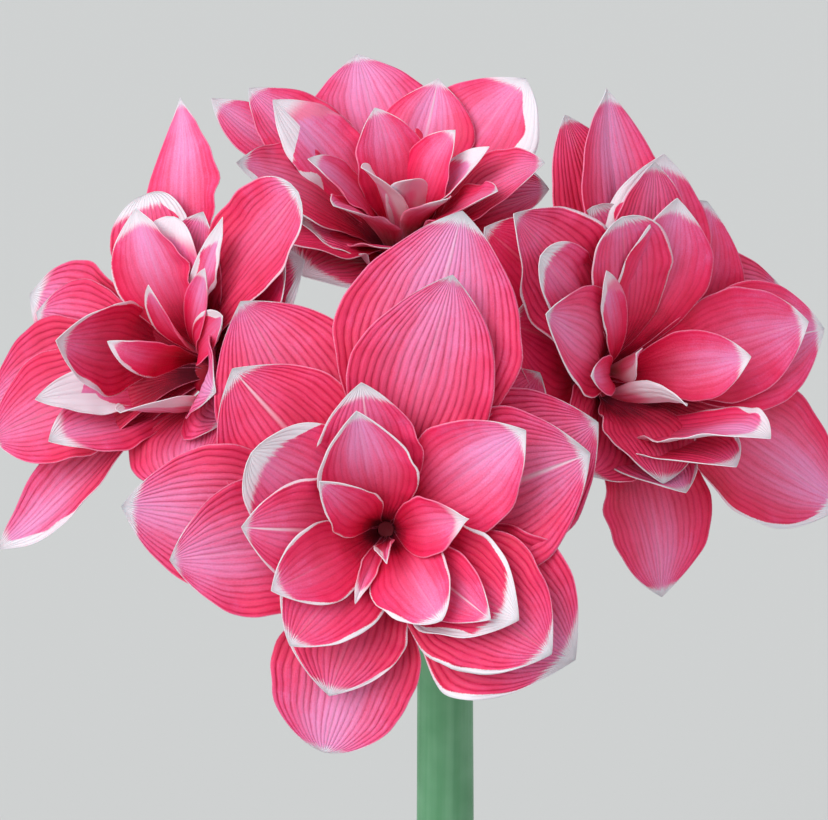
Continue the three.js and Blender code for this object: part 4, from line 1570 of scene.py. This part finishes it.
@dataclass
class Bulb:
    """The bulb: a fleshy body under layers of dry tunic, with the ends of old leaves round its neck."""

    foot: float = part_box("bulb")[0][2] / MM
    top: float = NECK_TOP
    foot_radius: float = 22.0
    neck_radius: float = 20.0
    socket_radius: float = 13.9
    socket_depth: float = 9.0
    underside: float = 0.06
    neck_edge: float = 0.86
    socket_edge: float = 0.93
    girths: tuple[tuple[float, float], ...] = (
        (0.0, 22.0), (0.14, 41.3), (0.36, 48.0), (0.62, 38.4), (0.86, 23.0), (1.0, 20.0),
    )
    layers: tuple[tuple[float, ...], ...] = (
        (10, 165, 0.3, 0.80, 0.5, 1), (150, 150, 0.3, 0.9, 0.8, 2), (260, 140, 0.3, 0.74, 0.6, 3),
        (60, 120, 0.32, 0.93, 1.3, 4), (210, 100, 0.32, 0.86, 1.4, 5), (330, 80, 0.32, 0.92, 1.1, 6),
    )

    def girth(self, share: float) -> float:
        """Give the radius at a share of the height, through the shares that a forcing bulb has."""
        knots = self.girths
        for (low, near), (high, far) in zip(knots, knots[1:]):
            if share <= high:
                step = (share - low) / (high - low)
                before = knots[max(knots.index((low, near)) - 1, 0)]
                after = knots[min(knots.index((high, far)) + 1, len(knots) - 1)]
                width = high - low
                slope_near = (far - before[1]) / max(high - before[0], 1e-6) * width
                slope_far = (after[1] - near) / max(after[0] - low, 1e-6) * width
                cube, square = step**3, step**2
                value = (2 * cube - 3 * square + 1) * near + (cube - 2 * square + step) * slope_near
                return value + (3 * square - 2 * cube) * far + (cube - square) * slope_far
        return self.neck_radius

    def body_place(self, x: float, y: float) -> Vector:
        """Find a point of the body, from the middle of the foot to the bottom of the neck's socket."""
        angle = 2 * math.pi * x
        height_share, radius = 0.0, 0.0
        if y < self.underside:
            radius = self.foot_radius * y / self.underside
        elif y < self.neck_edge:
            height_share = (y - self.underside) / 0.8
            radius = self.girth(height_share) - 0.5
        elif y < self.socket_edge:
            height_share = 1.0
            step_in = self.socket_radius - self.neck_radius + 0.5
            radius = self.neck_radius - 0.5 + step_in * (y - self.neck_edge) / 0.07
        else:
            drop = (y - self.socket_edge) / 0.07
            height_share = 1.0 - self.socket_depth / (self.top - self.foot) * min(drop * 2.0, 1.0)
            radius = self.socket_radius * (1.0 - max(drop * 2.0 - 1.0, 0.0))
        height = self.foot + (self.top - self.foot) * height_share
        if 0.1 < y < self.neck_edge:
            lumps = Vector((math.cos(angle) * 1.3, math.sin(angle) * 1.3, height * 0.02))
            radius += 0.9 * noise.noise(lumps) - 0.9
        return Vector((radius * math.cos(angle), radius * math.sin(angle), height))

    def tunic(self, mesh: PieceMesh, start: float, sweep: float, low: float, high: float, proud: float,
              seed: int) -> None:
        """Add one papery layer that wraps part of the bulb, with a torn upper edge.

        Args:
            mesh: The mesh to add to.
            start: Where the layer starts, in degrees.
            sweep: How far round it goes.
            low: The share of the height of its lower edge.
            high: The share of the height that its torn edge is about.
            proud: How far it stands off the bulb.
            seed: What its tears start from.
        """
        offset = Vector((seed * 7.3, seed * 3.1, 0.0))

        def place(x: float, y: float) -> Vector:
            """Find a point of the layer."""
            angle = math.radians(start + sweep * x)
            torn = high + 0.07 * noise.noise(Vector((x * 7.0, 0.0, 0.0)) + offset)
            torn += 0.03 * noise.noise(Vector((x * 31.0, 5.0, 0.0)) + offset)
            share = low + (min(torn, 0.995) - low) * y
            lift = proud * (0.5 + 0.9 * y) + 0.8 * noise.noise(Vector((x * 4.0, y * 3.0, 2.0)) + offset)
            lift *= smoothstep(0.0, 0.06, x) * smoothstep(1.0, 0.94, x)
            radius = self.girth(share) + max(lift, 0.0)
            height = self.foot + (self.top - self.foot) * share
            return Vector((radius * math.cos(angle), radius * math.sin(angle), height))

        mesh.sheet(72, 40, place)

    def build(self, skin: bpy.types.Material) -> None:
        """Build and dress the bulb.

        Args:
            skin: The tunic's finish.
        """
        mesh = PieceMesh()
        mesh.sheet(72, 60, self.body_place)
        mesh.settle(mesh.bm.verts[:])
        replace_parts(mesh.piece("bulb_body", "bulb_tunic", [skin]), "bulb")
        mesh = PieceMesh()
        for layer in self.layers:
            self.tunic(mesh, *layer)
        bmesh.ops.transform(mesh.bm, matrix=SCALE_TO_ROW, verts=mesh.bm.verts[:])
        made = mesh.piece("bulb_tunics", "bulb_tunic", [skin])
        solid = made.modifiers.new("thickness", "SOLIDIFY")
        solid.thickness = TUNIC_THICKNESS * MM
        solid.offset = -1.0


@dataclass
class Pot:
    """A plain clay pot with a band round its rim, and the peat mix in it."""

    height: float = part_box("pot")[1][2] / MM
    foot_radius: float = 60.0
    rim_radius: float = 86.0
    wall: float = 6.0
    floor: float = 8.0
    band: float = 26.0
    proud: float = 4.0
    drain_radius: float = 5.0
    drain_from_axis: float = 32.0
    soil_edge: float = 132.0
    soil_middle: float = 137.0
    soil_inner: float = 30.0
    crumbs_from: float = 44.0
    drains: int = 4
    sides: int = 128

    def outer(self, height: float) -> float:
        """Give the outer radius at a height below the band."""
        return self.foot_radius + (self.rim_radius - self.foot_radius) * height / self.height

    def profile(self) -> list[tuple[float, float]]:
        """Trace the pot's wall from the middle of its foot, up its outside, and down to its floor."""
        band_foot = self.height - self.band
        band_outer = self.rim_radius + self.proud
        inner_rim = self.rim_radius - self.wall
        foot = self.foot_radius
        steps = [(0.0, 0.0), (foot - 3.0, 0.0), (foot - 0.9, 0.5), (foot, 2.2)]
        for share in range(1, 16):
            height = 2.2 + (band_foot - 3.4) * share / 15
            steps.append((self.outer(height), height))
        under = self.outer(band_foot)
        steps += [
            (under + 0.4, band_foot - 0.6), (under + 1.6, band_foot + 0.3),
            (under + 3.3, band_foot + 1.6), (under + 4.0, band_foot + 3.6),
        ]
        for share in range(1, 5):
            radius = under + 4.0 + (band_outer - under - 4.0) * share / 5
            steps.append((radius, band_foot + 3.6 + (self.band - 7.0) * share / 5))
        steps += [
            (band_outer, self.height - 3.0), (band_outer - 0.6, self.height - 1.0),
            (band_outer - 2.2, self.height), (inner_rim + 2.2, self.height),
            (inner_rim + 0.6, self.height - 0.9),
            (self.outer(self.height - 3.0) - self.wall, self.height - 3.0),
        ]
        for share in range(1, 16):
            height = self.height - 3.0 - (self.height - 3.0 - self.floor - 2.0) * share / 15
            steps.append((self.outer(height) - self.wall, height))
        steps += [(self.outer(self.floor) - self.wall - 2.0, self.floor), (0.0, self.floor)]
        return steps

    def drilled(self, made: bpy.types.Object) -> None:
        """Cut the drain holes through the pot's floor.

        Args:
            made: The pot.
        """
        drills = bmesh.new()
        for hole in range(self.drains):
            angle = 2 * math.pi / self.drains * (hole + 0.5)
            middle = Vector((math.cos(angle), math.sin(angle), 0.0)) * self.drain_from_axis
            middle.z = self.floor / 2
            place = SCALE_TO_ROW @ Matrix.Translation(middle)
            bmesh.ops.create_cone(
                drills, cap_ends=True, segments=32, radius1=self.drain_radius, radius2=self.drain_radius,
                depth=3 * self.floor, matrix=place,
            )
        mesh = bpy.data.meshes.new("drills")
        drills.to_mesh(mesh)
        drills.free()
        tool = put_in_scene("drills", mesh)
        cut = made.modifiers.new("drain_holes", "BOOLEAN")
        cut.operation = "DIFFERENCE"
        cut.solver = "EXACT"
        cut.object = tool
        graph = bpy.context.evaluated_depsgraph_get()
        finished = bpy.data.meshes.new_from_object(made.evaluated_get(graph))
        made.modifiers.clear()
        made.data = finished
        bpy.data.objects.remove(tool)

    def soil_place(self, x: float, y: float) -> Vector:
        """Find a point of the soil's top: a low dome of lumps that meets the pot and the bulb."""
        angle = 2 * math.pi * x
        edge = self.outer(self.soil_edge) - self.wall - 0.5
        radius = self.soil_inner + (edge - self.soil_inner) * y
        share = radius / edge
        height = self.soil_middle - (self.soil_middle - self.soil_edge) * smoothstep(0.35, 1.0, share)
        spot = Vector((radius * math.cos(angle), radius * math.sin(angle), 0.0))
        height += 0.3 + 1.6 * noise.noise(spot * 0.07) + 0.9 * noise.noise(spot * 0.21)
        height += 0.5 * noise.noise(spot * 0.6)
        return Vector((spot.x, spot.y, height + 0.6))

    def scatter(self, mesh: PieceMesh, count: int, low: float, high: float, seed: int) -> None:
        """Scatter crumbs over the soil.

        Args:
            mesh: The mesh to add to.
            count: How many.
            low: The smallest radius.
            high: The largest radius.
            seed: What their places start from.
        """
        chance = random.Random(seed)
        edge = self.outer(self.soil_edge) - self.wall - high - 0.5
        for _ in range(count):
            reach = math.sqrt(chance.uniform((self.crumbs_from / edge) ** 2, 1.0))
            turn = chance.uniform(0.0, 1.0)
            share = (reach * edge - self.soil_inner) / (edge + high - self.soil_inner)
            spot = self.soil_place(turn, share)
            size = chance.uniform(low, high)
            length, width = chance.uniform(0.7, 1.3), chance.uniform(0.6, 1.1)
            shape = Vector((length, width, chance.uniform(0.45, 0.9))) * size
            twist = Matrix.Rotation(chance.uniform(0, 2 * math.pi), 4, "Z")
            twist = twist @ Matrix.Rotation(chance.uniform(-0.6, 0.6), 4, "X")
            matrix = SCALE_TO_ROW @ Matrix.Translation(spot) @ twist @ Matrix.Diagonal((*shape, 1.0))
            verts = bmesh.ops.create_icosphere(mesh.bm, subdivisions=1, radius=1.0, matrix=matrix)["verts"]
            for vert in verts:
                dent = Vector((chance.uniform(-1, 1), chance.uniform(-1, 1), chance.uniform(-1, 1)))
                vert.co += dent * size * MM * 0.16

    def build(self, clay: bpy.types.Material, soil: bpy.types.Material, grit: bpy.types.Material) -> None:
        """Build and dress the pot and its soil.

        Args:
            clay: The fired clay.
            soil: The peat mix.
            grit: The white grit in it.
        """
        mesh = PieceMesh()
        mesh.spun(self.profile(), self.sides, SCALE_TO_ROW)
        made = mesh.piece("clay_pot", "clay", [clay])
        self.drilled(made)
        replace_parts(made, "pot")
        mesh = PieceMesh()
        mesh.settle(mesh.sheet(220, 60, self.soil_place), closed=False)
        self.scatter(mesh, 900, 0.6, 2.2, 11)
        mesh.piece("soil_surface", "soil", [soil])
        mesh = PieceMesh()
        self.scatter(mesh, 90, 0.8, 1.8, 23)
        mesh.piece("soil_grit", "soil", [grit])


def dress_node(name: str, material: bpy.types.Material) -> None:
    """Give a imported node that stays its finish."""
    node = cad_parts[name]
    node.data.materials.clear()
    node.data.materials.append(material)


@dataclass(frozen=True)
class Studio:
    """The plain floor, the soft lights and the camera at the photograph's view."""

    width_px: float = 828.0
    focal_px: float = 3500.0
    sensor_mm: float = 36.0
    elevation: float = 15.0
    distance: float = 1.4
    target_mm: Triple = (-12.8, 0.0, 28.0)
    floor_half: float = 14.0
    floor_colour: Colour = (0.62, 0.63, 0.62)
    floor_rough: float = 0.9
    sky: Colour = (0.95, 0.97, 1.0)
    sky_strength: float = 0.6

    def camera(self) -> None:
        """Place the camera."""
        data = bpy.data.cameras.new("camera")
        data.sensor_width = self.sensor_mm
        data.lens = self.sensor_mm * self.focal_px / self.width_px
        data.clip_end = 100.0
        made = put_in_scene("camera", data)
        target = (UMBEL + Vector(self.target_mm)) * MM
        tilt = math.radians(self.elevation)
        look = Vector((0.0, math.cos(tilt), -math.sin(tilt)))
        made.location = target - look * self.distance
        made.rotation_euler = look.to_track_quat("-Z", "Y").to_euler()
        bpy.context.scene.camera = made

    def light(self, name: str, towards: Triple, spread: float, strength: float, colour: Colour) -> None:
        """Hang a broad soft light a long way off.

        Args:
            name: The light's name.
            towards: The way its light travels.
            spread: How wide it looks from the plant, in degrees.
            strength: Its strength.
            colour: Its colour.
        """
        data = bpy.data.lights.new(name, "SUN")
        data.angle = math.radians(spread)
        data.energy = strength
        data.color = colour
        made = put_in_scene(name, data)
        made.rotation_euler = Vector(towards).to_track_quat("-Z", "Y").to_euler()

    def floor(self) -> None:
        """Lay the pale floor."""
        mesh = bmesh.new()
        bmesh.ops.create_grid(mesh, x_segments=1, y_segments=1, size=self.floor_half)
        data = bpy.data.meshes.new("floor")
        mesh.to_mesh(data)
        mesh.free()
        surface = Surface("pale_floor")
        surface.set(Base_Color=self.floor_colour, Roughness=self.floor_rough)
        data.materials.append(surface.material)
        put_in_scene("floor", data)

    def build(self) -> None:
        """Set up the whole studio."""
        self.camera()
        self.floor()
        self.light("key", (0.6, 0.6, -0.56), 50.0, 2.3, (1.0, 0.99, 0.98))
        self.light("fill", (-0.7, 0.65, -0.25), 80.0, 0.25, (0.96, 0.98, 1.0))
        world = bpy.data.worlds.new("studio")
        world.use_nodes = True
        background = world.node_tree.nodes["Background"]
        background.inputs["Color"].default_value = (*self.sky, 1.0)
        background.inputs["Strength"].default_value = self.sky_strength
        scene = bpy.context.scene
        scene.world = world
        scene.view_settings.view_transform = "Standard"


def main() -> None:
    """Build the plant, dress it and light it."""
    logging.basicConfig(level=logging.INFO, format="%(message)s")
    Studio().build()
    groups = Groups(vein_group(), grain_group())
    stem, stalk_skin = STEM.make(groups), STALK.make(groups)
    face, back, throat = PETAL_FACE.make(groups), PETAL_BACK.make(groups), THROAT.make(groups)
    soil = SOIL.make(groups)
    Pot().build(CLAY.make(groups), soil, GRIT.make(groups))
    dress_node("soil", soil)
    Bulb().build(TUNIC.make(groups))
    Scape().build(stem)
    leaf_skin, bract_skin = LEAF_SKIN.make(groups), BRACT_SKIN.make(groups)
    for leaf in LEAVES:
        leaf.build(leaf_skin)
    for bract in BRACTS:
        bract.build(bract_skin)
    for bloom in BLOOMS:
        Stalk(bloom, STALK_SIDES[bloom.name]).build(stalk_skin)
        bloom.build(face, back, stalk_skin, throat)


if __name__ == "__main__":
    main()
